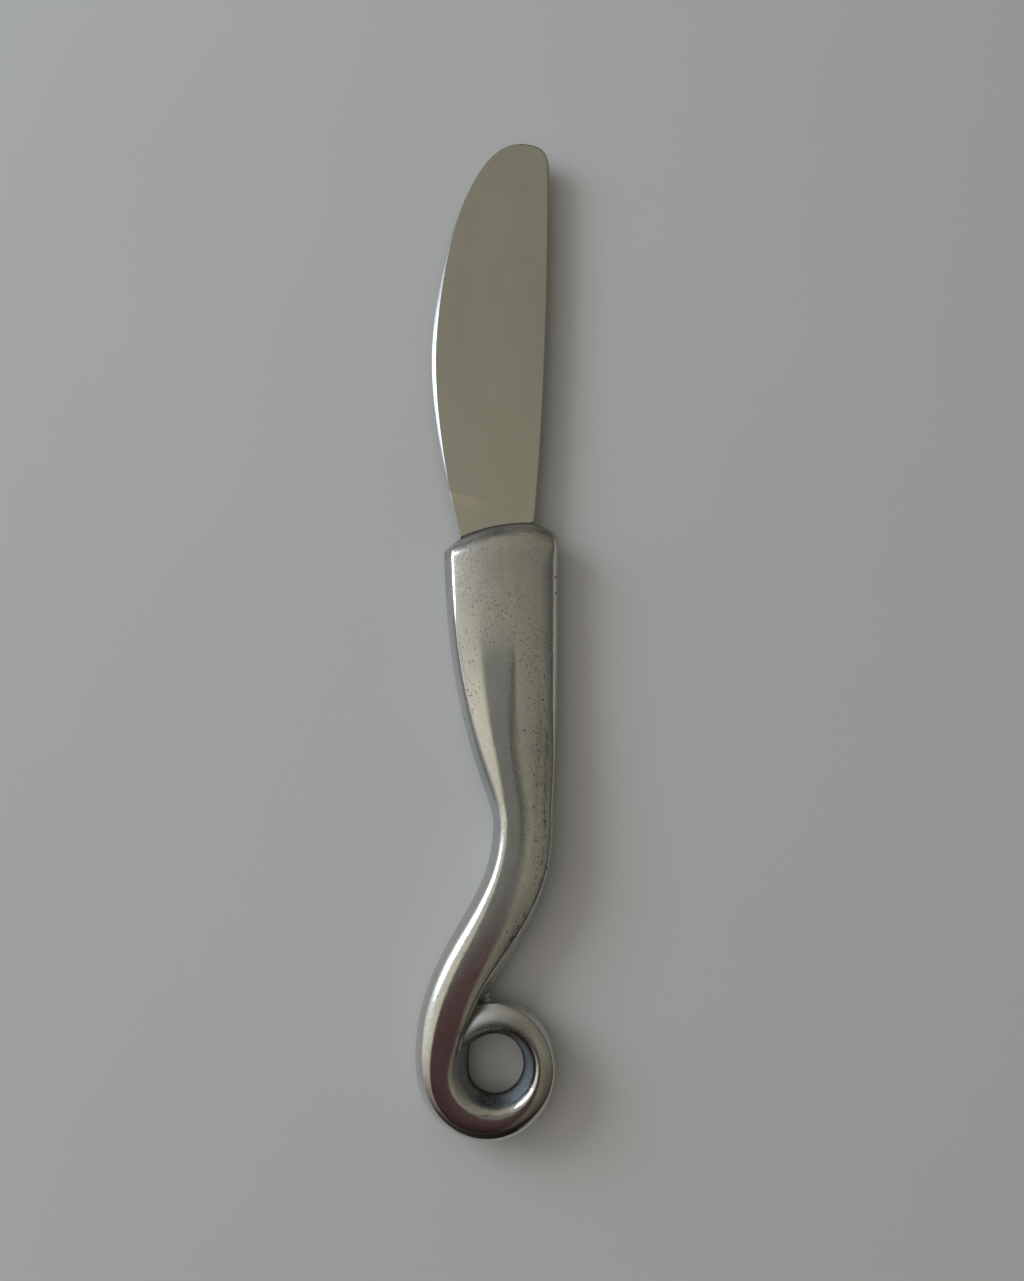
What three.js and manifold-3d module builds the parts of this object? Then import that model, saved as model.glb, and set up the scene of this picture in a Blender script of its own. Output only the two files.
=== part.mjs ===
// Cheese knife: a polished steel blade whose tang is bonded into a cast aluminium handle.
// The handle is one crowned bar: a broad grip that tapers through an S into a rolled loop.
// Millimetres, +Z up. +Y points from the handle to the blade's tip, and the knife lies flat on z = 0.
// Everything is drawn about the grip's axis, with y = 0 at the handle's blade end and z = 0 at mid-thickness.

import * as THREE from 'three';
import { mergeVertices } from 'three/addons/utils/BufferGeometryUtils.js';
import { NURBSCurve } from 'three/addons/curves/NURBSCurve.js';
import Module from 'manifold-3d';

const rad = THREE.MathUtils.degToRad;

// Blade, measured from the grip's axis and from the handle's end
const BLADE_LENGTH = 82.7;
const BLADE_THICKNESS = 1.5;
const BELLY_OUT = 13.95;
const BELLY_ALONG = 35.4;
const EDGE_ROOT_OUT = 7.85;
const SPINE_ROOT_OUT = 6.75;
const SPINE_TIP_OUT = 9.85;
const TIP_CREST_OUT = 3.75;
const TIP_ROUND = 5.4;
const ROOT_CORNER = 1.6;

// Fullness of the blade's curves: where their control points lie, as shares of each curve's run
const EDGE_CURVE = { rootOut: 0.39, rootAlong: 0.28, bellyAlong: 0.63 };
const TIP_CURVE = { bellyAlong: 0.335, crestOut: 0.38 };
const ROUND_CURVE = { crestOut: 0.66, spineAlong: 0.26 };
const SPINE_CURVE = { tipOut: 0.03, tipAlong: 0.35, rootOut: 0.38, rootAlong: 0.72 };

// Ground bevel of the cutting edge, and the small break on every other edge
const BEVEL_WIDTH = 1.1;
const BEVEL_FROM = 8;
const BEVEL_TO = 64;
const EDGE_LAND = 0.35;
const EDGE_BREAK = 0.15;

// Tang, its two keying holes, and the bond that fills the socket round it
const TANG_LENGTH = 36;
const TANG_ROOT_WIDTH = 10;
const TANG_END_WIDTH = 7;
const TANG_THICKNESS = 1.2;
const TANG_CORNER = 2;
const TANG_OVERLAP = 6;
const KEY_HOLE_DIAMETER = 3.4;
const KEY_HOLE_DEPTHS = [13, 26];
const BOND_THICKNESS = 0.5;
const BOND_SETBACK = 0.6;
const SEAT_GAP = 0.1;
const SHOULDER_GAP = 0.3;

// Handle: widths of the bar, and the course of its middle line
const HANDLE_THICKNESS = 9;
const GRIP_WIDTH = 22.2;
const NECK_WIDTH = 11.2;
const NECK_ALONG = 58.4;
const NECK_OUT = 4.4;
const NECK_EASE_IN = 38;
const TAPER_SHARE = 0.94;
const TAPER_POWER = 2.35;
const NECK_ROUND_ABOVE = 10;
const NECK_ROUND_BELOW = 16.7;
const STEM_TAPER_POWER = 3;
const LOOP_ALONG = 99.2;
const LOOP_OUT = -0.8;
const LOOP_HOLE_DIAMETER = 10.1;
const LOOP_ENTRY = 17.8;
const LOOP_BAR_WIDTH = 9.4;
const LOOP_END_WIDTH = 5.65;
const TAIL_THICKNESS = 7.5;
const TAIL_SINK = 0.5;
const LOOP_TURN = rad(330);
const LOOP_THINNING = rad(200);
const TAIL_FROM = rad(280);
const TAIL_TAPER = 20;

// Blade end of the handle: an arched nose, bevelled above and below, with rounded corners in plan
const NOSE_PEAK_OUT = 5.35;
const NOSE_DROP_EDGE_SIDE = 4.6;
const NOSE_DROP_SPINE_SIDE = 2.2;
const NOSE_SPINE_SIDE_POWER = 1.7;
const NOSE_BEVEL = 3.4;
const NOSE_LIP = 4.6;
const NOSE_FADE_EDGE_SIDE = 14;
const NOSE_FADE_SPINE_SIDE = 6;
const NOSE_CORNER_EDGE_SIDE = 2.4;
const NOSE_CORNER_SPINE_SIDE = 0.5;

// Cross-section of the bar at nine places. Left is the cutting edge's side, and in the loop the outside.
// Left and right values: how far the wall leans in from mid-thickness to the shoulder, length of the
// shoulder's rounding, and radius of the face's crowning. Then the crest's place, from the left edge (-1)
// to the right edge (1).
const sectionForm = (leanLeft, leanRight, softLeft, softRight, crownLeft, crownRight, crest) => (
  { leanLeft, leanRight, softLeft, softRight, crownLeft, crownRight, crest }
);
const NOSE_FORM = sectionForm(1.5, 0.7, 0.5, 0.7, 33, 33, 0);
const GRIP_FORM = sectionForm(1.5, 1.0, 0.5, 2.6, 33, 33, 0);
const WAIST_FORM = sectionForm(1.5, 1.0, 0.1, 2.6, 33, 33, 0);
const NECK_FORM = sectionForm(1.4, 0.5, 1.1, 0.6, 14, 27, -0.17);
const STEM_FORM = sectionForm(1.6, 1.5, 2.6, 0.6, 20, 30, -0.05);
const LOOP_FORM = sectionForm(1.5, 2.2, 1.3, 1.4, 21, 19.5, -0.2);
const ROLL_FORM = sectionForm(0.8, 2.2, 1.8, 1.3, 7, 7, -0.1);
const SIDE_FORM = sectionForm(0.6, 2.2, 0.5, 1.0, 8, 9, 0.05);
const TAIL_FORM = sectionForm(0.15, 0.9, 0.8, 1.2, 4, 4, 0.45);
const RIDGE = 0.2;

// Each form takes over between these shares of the way from the blade's end to the neck
const FORM_CHANGES = [
  { form: GRIP_FORM, from: 0.08, to: 0.17 },
  { form: WAIST_FORM, from: 0.24, to: 0.36 },
  { form: NECK_FORM, from: 0.35, to: 0.85 },
  { form: STEM_FORM, from: 1.08, to: 1.55 },
  { form: LOOP_FORM, from: 1.6, to: 1.85 },
  { form: ROLL_FORM, from: 1.82, to: 2.04 },
  { form: SIDE_FORM, from: 2.06, to: 2.22 },
  { form: TAIL_FORM, from: 2.26, to: 2.5 },
];

// Casting fillet in the corner between the stem and the loop's end: a low wedge about that corner in plan
const WEB_CORNER_ASIDE = 2.03;
const WEB_CORNER_ABOVE = 10.41;
const WEB_STEM_SIDE = rad(62.8);
const WEB_END_SIDE = rad(3.5);
const WEB_BACK = rad(211);
const WEB_LENGTH = 3;
const WEB_ROOT = 2.55;
const WEB_HEIGHT = 2.4;

// However soft the shoulder is, the face and the wall keep at least these shares of their runs
const FACE_LEAST = 0.3;
const WALL_LEAST = 0.25;

// Fineness of the faceted surfaces
const STATION_STEP = 2;
const CONTROL_STEPS_TO_NECK = 10;
const CONTROL_STEPS_TO_LOOP = 8;
const CONTROL_ANGLE = rad(30);
const SECTION_STEPS = { ridge: 1, wall: 1, shoulder: 3, crown: 3 };
const OUTLINE_STEPS = 26;
const FRONT_STEPS = 10;
const CORNER_STEPS = 4;
const ROUND_STEPS = 12;
const COURSE_DIVISIONS = 800;
const MERGE_WITHIN = 1e-5;
const NOSE_STATIONS = [0, 0.15, 0.36, 0.62, 0.84, 1, 1.16, 1.6, 2.4, 3.3];

const STEEL = new THREE.MeshStandardMaterial({ color: 0xb4b1a6, roughness: 0.08, metalness: 1 });
const ALUMINIUM = new THREE.MeshStandardMaterial({ color: 0xb9b7ae, roughness: 0.24, metalness: 1 });
const EPOXY = new THREE.MeshStandardMaterial({ color: 0x3d3b37, roughness: 0.5, metalness: 0 });

const wasm = await Module();
wasm.setup();

const mix = THREE.MathUtils.lerp;
const clamp = THREE.MathUtils.clamp;
const smoothstep = THREE.MathUtils.smoothstep;

// A closed mesh as a solid that can be joined and cut
function solidOf(geometry) {
  const bare = geometry.clone();
  bare.deleteAttribute('normal');
  bare.deleteAttribute('uv');
  const merged = mergeVertices(bare, MERGE_WITHIN);
  return new wasm.Manifold(new wasm.Mesh({
    numProp: 3,
    vertProperties: new Float32Array(merged.attributes.position.array),
    triVerts: new Uint32Array(merged.index.array),
  }));
}

function geometryOf(solid) {
  const mesh = solid.getMesh();
  const geometry = new THREE.BufferGeometry();
  geometry.setAttribute('position', new THREE.BufferAttribute(mesh.vertProperties, 3));
  geometry.setIndex(new THREE.BufferAttribute(mesh.triVerts, 1));
  geometry.computeVertexNormals();
  return geometry;
}

function named(name, solid, material) {
  const mesh = new THREE.Mesh(geometryOf(solid), material);
  mesh.name = name;
  return mesh;
}

// A flat outline, raised equally above and below mid-thickness
function slab(shape, thickness) {
  const geometry = new THREE.ExtrudeGeometry(shape, {
    depth: thickness,
    bevelEnabled: false,
    curveSegments: ROUND_STEPS,
  });
  return solidOf(geometry.translate(0, 0, -thickness / 2));
}

// Plan of the handle's end: one arch, steeper on the spine's side. The blade's shoulder follows it.
function noseLine(x) {
  const half = GRIP_WIDTH / 2;
  const away = x - NOSE_PEAK_OUT;
  if (away < 0) return -NOSE_DROP_EDGE_SIDE * (away / (half + NOSE_PEAK_OUT)) ** 2;
  return -NOSE_DROP_SPINE_SIDE * (away / (half - NOSE_PEAK_OUT)) ** NOSE_SPINE_SIDE_POWER;
}

// Middle line of the handle, with half the bar's width as its third coordinate
function handleCourse() {
  const holeRadius = LOOP_HOLE_DIAMETER / 2;
  const entryOut = LOOP_OUT - holeRadius - LOOP_BAR_WIDTH / 2;
  const toNeck = new THREE.CubicBezierCurve(
    new THREE.Vector2(0, 0),
    new THREE.Vector2(0, -NECK_EASE_IN),
    new THREE.Vector2(NECK_OUT, -NECK_ALONG + NECK_ROUND_ABOVE),
    new THREE.Vector2(NECK_OUT, -NECK_ALONG),
  );
  const toLoop = new THREE.CubicBezierCurve(
    new THREE.Vector2(NECK_OUT, -NECK_ALONG),
    new THREE.Vector2(NECK_OUT, -NECK_ALONG - NECK_ROUND_BELOW),
    new THREE.Vector2(entryOut, -LOOP_ALONG + LOOP_ENTRY),
    new THREE.Vector2(entryOut, -LOOP_ALONG),
  );
  const controls = [];
  const put = (point, width) => controls.push(new THREE.Vector4(point.x, point.y, width / 2, 1));
  for (let i = 0; i <= CONTROL_STEPS_TO_NECK; i++) {
    const point = toNeck.getPoint(i / CONTROL_STEPS_TO_NECK);
    const taper = Math.min(1, (-point.y / (TAPER_SHARE * NECK_ALONG)) ** TAPER_POWER);
    put(point, mix(GRIP_WIDTH, NECK_WIDTH, taper));
  }
  for (let i = 1; i <= CONTROL_STEPS_TO_LOOP; i++) {
    const share = i / CONTROL_STEPS_TO_LOOP;
    put(toLoop.getPoint(share), mix(NECK_WIDTH, LOOP_BAR_WIDTH, share ** STEM_TAPER_POWER));
  }
  const pull = (2 + Math.cos(CONTROL_ANGLE)) / 3;
  for (let turned = CONTROL_ANGLE; turned < LOOP_TURN + CONTROL_ANGLE / 2; turned += CONTROL_ANGLE) {
    const width = mix(LOOP_BAR_WIDTH, LOOP_END_WIDTH, smoothstep(turned, 0, LOOP_THINNING));
    const sink = TAIL_SINK * smoothstep(turned, TAIL_FROM, LOOP_TURN);
    const radius = (holeRadius + width / 2 + sink) / pull;
    const angle = Math.PI + turned;
    const x = LOOP_OUT + radius * Math.cos(angle);
    put(new THREE.Vector2(x, -LOOP_ALONG + radius * Math.sin(angle)), width);
  }
  const inner = controls.length - 4;
  const knots = [0, 0, 0, 0];
  for (let i = 1; i <= inner; i++) knots.push(i / (inner + 1));
  knots.push(1, 1, 1, 1);
  const course = new NURBSCurve(3, knots, controls);
  course.arcLengthDivisions = COURSE_DIVISIONS;
  return course;
}

// One quarter of the bar's section, from the widest point at mid-thickness up to the crest
function quarterSection(half, tall, lean, soft, crown) {
  const edgeOut = half - lean;
  const inner = Math.max(edgeOut - soft, edgeOut * FACE_LEAST);
  const fall = 1 / (2 * crown);
  const edge = new THREE.Vector2(edgeOut, tall - fall * inner * (2 * edgeOut - inner));
  const ridgeUp = edge.y * RIDGE / (lean + RIDGE);
  const wallStart = new THREE.Vector2(half - RIDGE, 2 * ridgeUp);
  const wallShare = Math.max(WALL_LEAST, 1 - soft / edge.distanceTo(wallStart));
  const wallEnd = wallStart.clone().lerp(edge, wallShare);
  const path = new THREE.Path();
  path.moveTo(half, 0);
  path.quadraticCurveTo(half, ridgeUp, wallStart.x, wallStart.y);
  path.lineTo(wallEnd.x, wallEnd.y);
  path.quadraticCurveTo(edge.x, edge.y, inner, tall - fall * inner ** 2);
  path.quadraticCurveTo(inner / 2, tall, 0, tall);
  const steps = Object.values(SECTION_STEPS);
  const points = [path.curves[0].getPoint(0)];
  path.curves.forEach((curve, i) => points.push(...curve.getPoints(steps[i]).slice(1)));
  return points;
}

function mixForms(a, b, share) {
  const form = {};
  for (const key of Object.keys(a)) form[key] = mix(a[key], b[key], share);
  return form;
}

// Rings of points round the bar, one for each station along the course
function handleStations() {
  const course = handleCourse();
  const length = course.getLength();
  const distances = NOSE_STATIONS.map((share) => share * NOSE_BEVEL);
  const first = distances.at(-1);
  const steps = Math.round((length - first) / STATION_STEP);
  for (let i = 1; i <= steps; i++) distances.push(mix(first, length, i / steps));
  return distances.map((distance) => {
    const at = course.getPointAt(distance / length);
    const heading = course.getTangentAt(distance / length);
    const tangent = new THREE.Vector2(heading.x, heading.y).normalize();
    let form = NOSE_FORM;
    for (const change of FORM_CHANGES) {
      form = mixForms(form, change.form, smoothstep(distance / NECK_ALONG, change.from, change.to));
    }
    const thin = smoothstep(distance, length - TAIL_TAPER, length);
    const tall = mix(HANDLE_THICKNESS, TAIL_THICKNESS, thin) / 2;
    const crest = at.z * form.crest;
    const right = quarterSection(at.z - crest, tall, form.leanRight, form.softRight, form.crownRight);
    const left = quarterSection(at.z + crest, tall, form.leanLeft, form.softLeft, form.crownLeft);
    const upper = [
      ...right.map((p) => new THREE.Vector2(crest + p.x, p.y)),
      ...left.slice(0, -1).reverse().map((p) => new THREE.Vector2(crest - p.x, p.y)),
    ];
    const lower = upper.slice(1, -1).reverse().map((p) => new THREE.Vector2(p.x, -p.y));
    const rise = Math.min(1, mix(NOSE_LIP / HANDLE_THICKNESS, 1, distance / NOSE_BEVEL));
    const ring = [...upper, ...lower].map((p) => {
      const corner = p.x > 0 ? NOSE_CORNER_SPINE_SIDE : NOSE_CORNER_EDGE_SIDE;
      const cut = Math.max(0, corner - distance);
      const inset = corner - Math.sqrt(corner ** 2 - cut ** 2);
      const across = p.x * (1 - inset / at.z);
      const fade = across < NOSE_PEAK_OUT ? NOSE_FADE_EDGE_SIDE : NOSE_FADE_SPINE_SIDE;
      const bow = -noseLine(across) * Math.max(0, 1 - distance / fade) ** 2;
      return new THREE.Vector3(
        at.x - tangent.y * across + tangent.x * bow,
        at.y + tangent.x * across + tangent.y * bow,
        p.y * rise,
      );
    });
    return { ring, tangent };
  });
}

// A closed skin through a row of rings, each capped across from its upper side to its lower side
function loft(rings) {
  const count = rings[0].length;
  const half = count / 2;
  const index = [];
  const vertex = (k, i) => k * count + (i + count) % count;
  for (let k = 0; k < rings.length - 1; k++) {
    for (let i = 0; i < count; i++) {
      index.push(vertex(k, i), vertex(k, i + 1), vertex(k + 1, i + 1));
      index.push(vertex(k, i), vertex(k + 1, i + 1), vertex(k + 1, i));
    }
  }
  const cap = (k, flip) => {
    const face = (a, b, c) => index.push(...(flip ? [a, c, b] : [a, b, c]));
    for (let i = 0; i < half; i++) {
      if (i > 0) face(vertex(k, i), vertex(k, -i), vertex(k, -i - 1));
      if (i < half - 1) face(vertex(k, i), vertex(k, -i - 1), vertex(k, i + 1));
    }
  };
  cap(0, false);
  cap(rings.length - 1, true);
  const geometry = new THREE.BufferGeometry().setFromPoints(rings.flat());
  geometry.setIndex(index);
  return geometry;
}

// The fillet's wedge: widest at mid-thickness, and back at the crease above and below
function filletWedge() {
  const from = (angle, distance, z) => new THREE.Vector3(
    LOOP_OUT - WEB_CORNER_ASIDE + distance * Math.cos(angle),
    -LOOP_ALONG + WEB_CORNER_ABOVE + distance * Math.sin(angle),
    z,
  );
  const points = [
    from(WEB_STEM_SIDE, WEB_LENGTH, 0),
    from(WEB_BACK, WEB_ROOT, 0),
    from(WEB_END_SIDE, WEB_LENGTH, 0),
    from(WEB_BACK, WEB_ROOT / 2, WEB_HEIGHT),
    from(WEB_BACK, WEB_ROOT / 2, -WEB_HEIGHT),
  ];
  const geometry = new THREE.BufferGeometry().setFromPoints(points);
  geometry.setIndex([0, 1, 3, 1, 2, 3, 2, 0, 3, 1, 0, 4, 2, 1, 4, 0, 2, 4]);
  return geometry;
}

// Half the tang's width at a distance along it: the sides taper in straight lines to the end's corners
function tangHalf(y) {
  const share = 1 + y / (TANG_LENGTH - TANG_CORNER);
  return mix(TANG_END_WIDTH, TANG_ROOT_WIDTH, share) / 2;
}

// Outline of the tang, grown by a margin all round. front gives the y of its front edge at each x.
function tangShape(margin, front, holes) {
  const end = TANG_END_WIDTH / 2 + margin;
  const tail = -TANG_LENGTH - margin;
  const corner = TANG_CORNER + margin;
  const root = TANG_ROOT_WIDTH / 2 + margin;
  const right = new THREE.Vector2(tangHalf(front(root)) + margin, front(root));
  const left = new THREE.Vector2(-tangHalf(front(-root)) - margin, front(-root));
  const shape = new THREE.Shape();
  shape.moveTo(right.x, right.y);
  for (let i = 1; i < FRONT_STEPS; i++) {
    const x = mix(right.x, left.x, i / FRONT_STEPS);
    shape.lineTo(x, front(x));
  }
  shape.lineTo(left.x, left.y);
  shape.lineTo(-end, tail + corner);
  shape.quadraticCurveTo(-end, tail, -end + corner, tail);
  shape.lineTo(end - corner, tail);
  shape.quadraticCurveTo(end, tail, end, tail + corner);
  shape.closePath();
  if (holes) {
    for (const depth of KEY_HOLE_DEPTHS) {
      const hole = new THREE.Path();
      hole.absarc(0, -depth, KEY_HOLE_DIAMETER / 2 - margin, 0, 2 * Math.PI, true);
      shape.holes.push(hole);
    }
  }
  return shape;
}

// Outline of the blade from the edge's root round the tip to the spine's root, then back along the nose
function bladeOutline() {
  const shoulder = (x) => noseLine(x) + SHOULDER_GAP;
  const rootLeft = shoulder(-EDGE_ROOT_OUT);
  const rootRight = shoulder(SPINE_ROOT_OUT);
  const cornerOut = SPINE_ROOT_OUT - ROOT_CORNER;
  const roundFrom = BLADE_LENGTH - TIP_ROUND;
  const edgeRun = (share) => mix(rootLeft, BELLY_ALONG, share);
  const spineRun = (share) => mix(roundFrom, rootRight, share);
  const spineOut = (share) => mix(SPINE_TIP_OUT, SPINE_ROOT_OUT, share);
  const path = new THREE.Path();
  path.moveTo(-EDGE_ROOT_OUT, rootLeft);
  path.bezierCurveTo(
    mix(-EDGE_ROOT_OUT, -BELLY_OUT, EDGE_CURVE.rootOut), edgeRun(EDGE_CURVE.rootAlong),
    -BELLY_OUT, edgeRun(EDGE_CURVE.bellyAlong),
    -BELLY_OUT, BELLY_ALONG,
  );
  path.bezierCurveTo(
    -BELLY_OUT, mix(BELLY_ALONG, BLADE_LENGTH, TIP_CURVE.bellyAlong),
    mix(-BELLY_OUT, TIP_CREST_OUT, TIP_CURVE.crestOut), BLADE_LENGTH,
    TIP_CREST_OUT, BLADE_LENGTH,
  );
  path.bezierCurveTo(
    mix(TIP_CREST_OUT, SPINE_TIP_OUT, ROUND_CURVE.crestOut), BLADE_LENGTH,
    SPINE_TIP_OUT, mix(BLADE_LENGTH, roundFrom, ROUND_CURVE.spineAlong),
    SPINE_TIP_OUT, roundFrom,
  );
  path.bezierCurveTo(
    spineOut(SPINE_CURVE.tipOut), spineRun(SPINE_CURVE.tipAlong),
    spineOut(SPINE_CURVE.rootOut), spineRun(SPINE_CURVE.rootAlong),
    SPINE_ROOT_OUT, rootRight + ROOT_CORNER,
  );
  path.quadraticCurveTo(SPINE_ROOT_OUT, rootRight, cornerOut, shoulder(cornerOut));
  const steps = [OUTLINE_STEPS, OUTLINE_STEPS, OUTLINE_STEPS / 2, OUTLINE_STEPS / 2, CORNER_STEPS];
  const points = [path.curves[0].getPoint(0)];
  path.curves.forEach((curve, i) => points.push(...curve.getPoints(steps[i]).slice(1)));
  const edgeCount = 2 * OUTLINE_STEPS;
  for (let i = 1; i < FRONT_STEPS; i++) {
    const x = mix(cornerOut, -EDGE_ROOT_OUT, i / FRONT_STEPS);
    points.push(new THREE.Vector2(x, shoulder(x)));
  }
  return points.map((point, i) => {
    const along = clamp((point.y - BEVEL_FROM) / (BEVEL_TO - BEVEL_FROM), 0, 1);
    return { point, ground: i <= edgeCount ? Math.sin(Math.PI * along) : 0 };
  });
}

// A flat plate whose rim is bevelled on both faces, wide where it is ground and just broken elsewhere
function bladePlate() {
  const outline = bladeOutline();
  const count = outline.length;
  const half = BLADE_THICKNESS / 2;
  const rings = [[], [], [], []];
  const flat = [];
  outline.forEach(({ point, ground }, i) => {
    const before = outline[(i + count - 1) % count].point;
    const after = outline[(i + 1) % count].point;
    const along = after.clone().sub(before).normalize();
    const width = mix(EDGE_BREAK, BEVEL_WIDTH, ground);
    const rim = mix(half - EDGE_BREAK, EDGE_LAND / 2, ground);
    const inner = point.clone().add(new THREE.Vector2(along.y, -along.x).multiplyScalar(width));
    flat.push(inner);
    rings[0].push(new THREE.Vector3(inner.x, inner.y, half));
    rings[1].push(new THREE.Vector3(point.x, point.y, rim));
    rings[2].push(new THREE.Vector3(point.x, point.y, -rim));
    rings[3].push(new THREE.Vector3(inner.x, inner.y, -half));
  });
  const index = [];
  const vertex = (k, i) => k * count + i % count;
  for (let k = 0; k < 3; k++) {
    for (let i = 0; i < count; i++) {
      index.push(vertex(k, i), vertex(k, i + 1), vertex(k + 1, i + 1));
      index.push(vertex(k, i), vertex(k + 1, i + 1), vertex(k + 1, i));
    }
  }
  for (const [a, b, c] of THREE.ShapeUtils.triangulateShape(flat, [])) {
    index.push(vertex(0, a), vertex(0, b), vertex(0, c));
    index.push(vertex(3, a), vertex(3, c), vertex(3, b));
  }
  const geometry = new THREE.BufferGeometry().setFromPoints(rings.flat());
  geometry.setIndex(index);
  return solidOf(geometry);
}

function bladeSolid() {
  const tang = slab(tangShape(0, () => TANG_OVERLAP, true), TANG_THICKNESS);
  return bladePlate().add(tang);
}

function handleSolid() {
  const stations = handleStations();
  const bottom = stations.findIndex((station) => station.tangent.y > 0);
  const rings = stations.map((station) => station.ring);
  const bar = solidOf(loft(rings.slice(0, bottom + 1)));
  const tail = solidOf(loft(rings.slice(bottom)));
  const socketThickness = TANG_THICKNESS + 2 * BOND_THICKNESS;
  const socket = slab(tangShape(BOND_THICKNESS, () => TANG_OVERLAP, false), socketThickness);
  return bar.add(tail).add(solidOf(filletWedge())).subtract(socket);
}

function bondSolid() {
  const outer = BOND_THICKNESS - SEAT_GAP;
  const mouth = (x) => noseLine(x) - BOND_SETBACK;
  const filling = slab(tangShape(outer, mouth, false), TANG_THICKNESS + 2 * outer);
  const room = slab(tangShape(SEAT_GAP, () => TANG_OVERLAP, true), TANG_THICKNESS + 2 * SEAT_GAP);
  return filling.subtract(room);
}

const knife = new THREE.Group();
knife.add(named('blade', bladeSolid(), STEEL));
knife.add(named('handle', handleSolid(), ALUMINIUM));
knife.add(named('tang_bond', bondSolid(), EPOXY));

// The origin is under the middle of the knife, on the surface that it lies on
const box = new THREE.Box3().setFromObject(knife);
const middle = box.getCenter(new THREE.Vector3());
knife.position.set(-middle.x, -middle.y, -box.min.z);

export default knife;
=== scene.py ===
# Looks of the cheese knife: a polished steel blade in a cast aluminium handle that rolls into a loop.
# The shapes repeat the part's own construction with finer steps, in millimetres about the grip's axis.
import math

import bpy
import numpy as np
from mathutils import Matrix, Vector
from mathutils.kdtree import KDTree


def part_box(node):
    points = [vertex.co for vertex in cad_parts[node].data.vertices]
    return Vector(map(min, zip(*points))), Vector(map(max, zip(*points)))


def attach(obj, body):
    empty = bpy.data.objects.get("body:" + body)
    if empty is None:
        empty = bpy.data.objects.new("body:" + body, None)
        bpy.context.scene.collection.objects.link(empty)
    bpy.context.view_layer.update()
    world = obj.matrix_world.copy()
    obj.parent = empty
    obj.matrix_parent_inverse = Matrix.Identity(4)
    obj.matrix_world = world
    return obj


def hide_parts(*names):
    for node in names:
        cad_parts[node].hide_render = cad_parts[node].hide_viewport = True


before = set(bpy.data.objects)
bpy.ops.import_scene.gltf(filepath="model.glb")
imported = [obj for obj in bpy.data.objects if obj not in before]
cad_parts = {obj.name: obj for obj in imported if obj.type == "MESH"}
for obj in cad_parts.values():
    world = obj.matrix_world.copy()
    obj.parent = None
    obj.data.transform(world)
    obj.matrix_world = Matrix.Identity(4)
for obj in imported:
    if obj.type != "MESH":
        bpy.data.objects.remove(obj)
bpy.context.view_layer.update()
MM = 0.001

# Blade
BLADE_LENGTH = 82.7
BLADE_THICKNESS = 1.5
BELLY_OUT = 13.95
BELLY_ALONG = 35.4
EDGE_ROOT_OUT = 7.85
SPINE_ROOT_OUT = 6.75
SPINE_TIP_OUT = 9.85
TIP_CREST_OUT = 3.75
TIP_ROUND = 5.4
ROOT_CORNER = 1.6
BEVEL_WIDTH = 0.88
BEVEL_FROM = 8
BEVEL_TO = 64
EDGE_LAND = 0.35
EDGE_BREAK = 0.15
EDGE_EASE = 0.35
SHOULDER_GAP = 0.3

# How far along each run of the blade's outline its curve's handles lie, as shares
EDGE_CURVE = {"root_out": 0.39, "root_along": 0.28, "belly_along": 0.63}
TIP_CURVE = {"belly_along": 0.335, "crest_out": 0.38}
ROUND_CURVE = {"crest_out": 0.66, "spine_along": 0.26}
SPINE_CURVE = {"tip_out": 0.03, "tip_along": 0.35, "root_out": 0.38, "root_along": 0.72}

# Shares of the bevel's width and drop from the flat to the rim, with a rounded turn at both ends
BEVEL_PROFILE = ((1.0, 0.0), (0.93, 0.03), (0.84, 0.1), (0.1, 0.86), (0.03, 0.94), (0.0, 1.03))

# Tang and socket
TANG_LENGTH = 36
TANG_ROOT_WIDTH = 10
TANG_END_WIDTH = 7
TANG_THICKNESS = 1.2
TANG_CORNER = 2
TANG_OVERLAP = 6
KEY_HOLE_DIAMETER = 3.4
KEY_HOLE_DEPTHS = (13, 26)
BOND_THICKNESS = 0.5

# Handle
HANDLE_THICKNESS = 9
GRIP_WIDTH = 22.2
NECK_WIDTH = 11.2
NECK_ALONG = 58.4
NECK_OUT = 4.4
NECK_EASE_IN = 38
TAPER_SHARE = 0.94
TAPER_POWER = 2.35
NECK_ROUND_ABOVE = 10
NECK_ROUND_BELOW = 16.7
STEM_TAPER_POWER = 3
LOOP_ALONG = 99.2
LOOP_OUT = -0.8
LOOP_HOLE_DIAMETER = 10.1
LOOP_ENTRY = 17.8
LOOP_BAR_WIDTH = 9.4
LOOP_END_WIDTH = 5.65
TAIL_THICKNESS = 7.5
TAIL_SINK = 0.5
LOOP_TURN = math.radians(330)
LOOP_THINNING = math.radians(200)
TAIL_FROM = math.radians(280)
TAIL_TAPER = 20
NOSE_PEAK_OUT = 5.35
NOSE_DROP_EDGE_SIDE = 4.6
NOSE_DROP_SPINE_SIDE = 2.2
NOSE_SPINE_SIDE_POWER = 1.7
NOSE_BEVEL = 3.85
NOSE_LIP = 4.6
NOSE_SOFT = 0.24
NOSE_FADE_EDGE_SIDE = 14
NOSE_FADE_SPINE_SIDE = 6
LIP_ROUND = 0.2
NOSE_CORNER_EDGE_SIDE = 2.4
NOSE_CORNER_SPINE_SIDE = 0.5
RIDGE = 0.2

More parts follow.
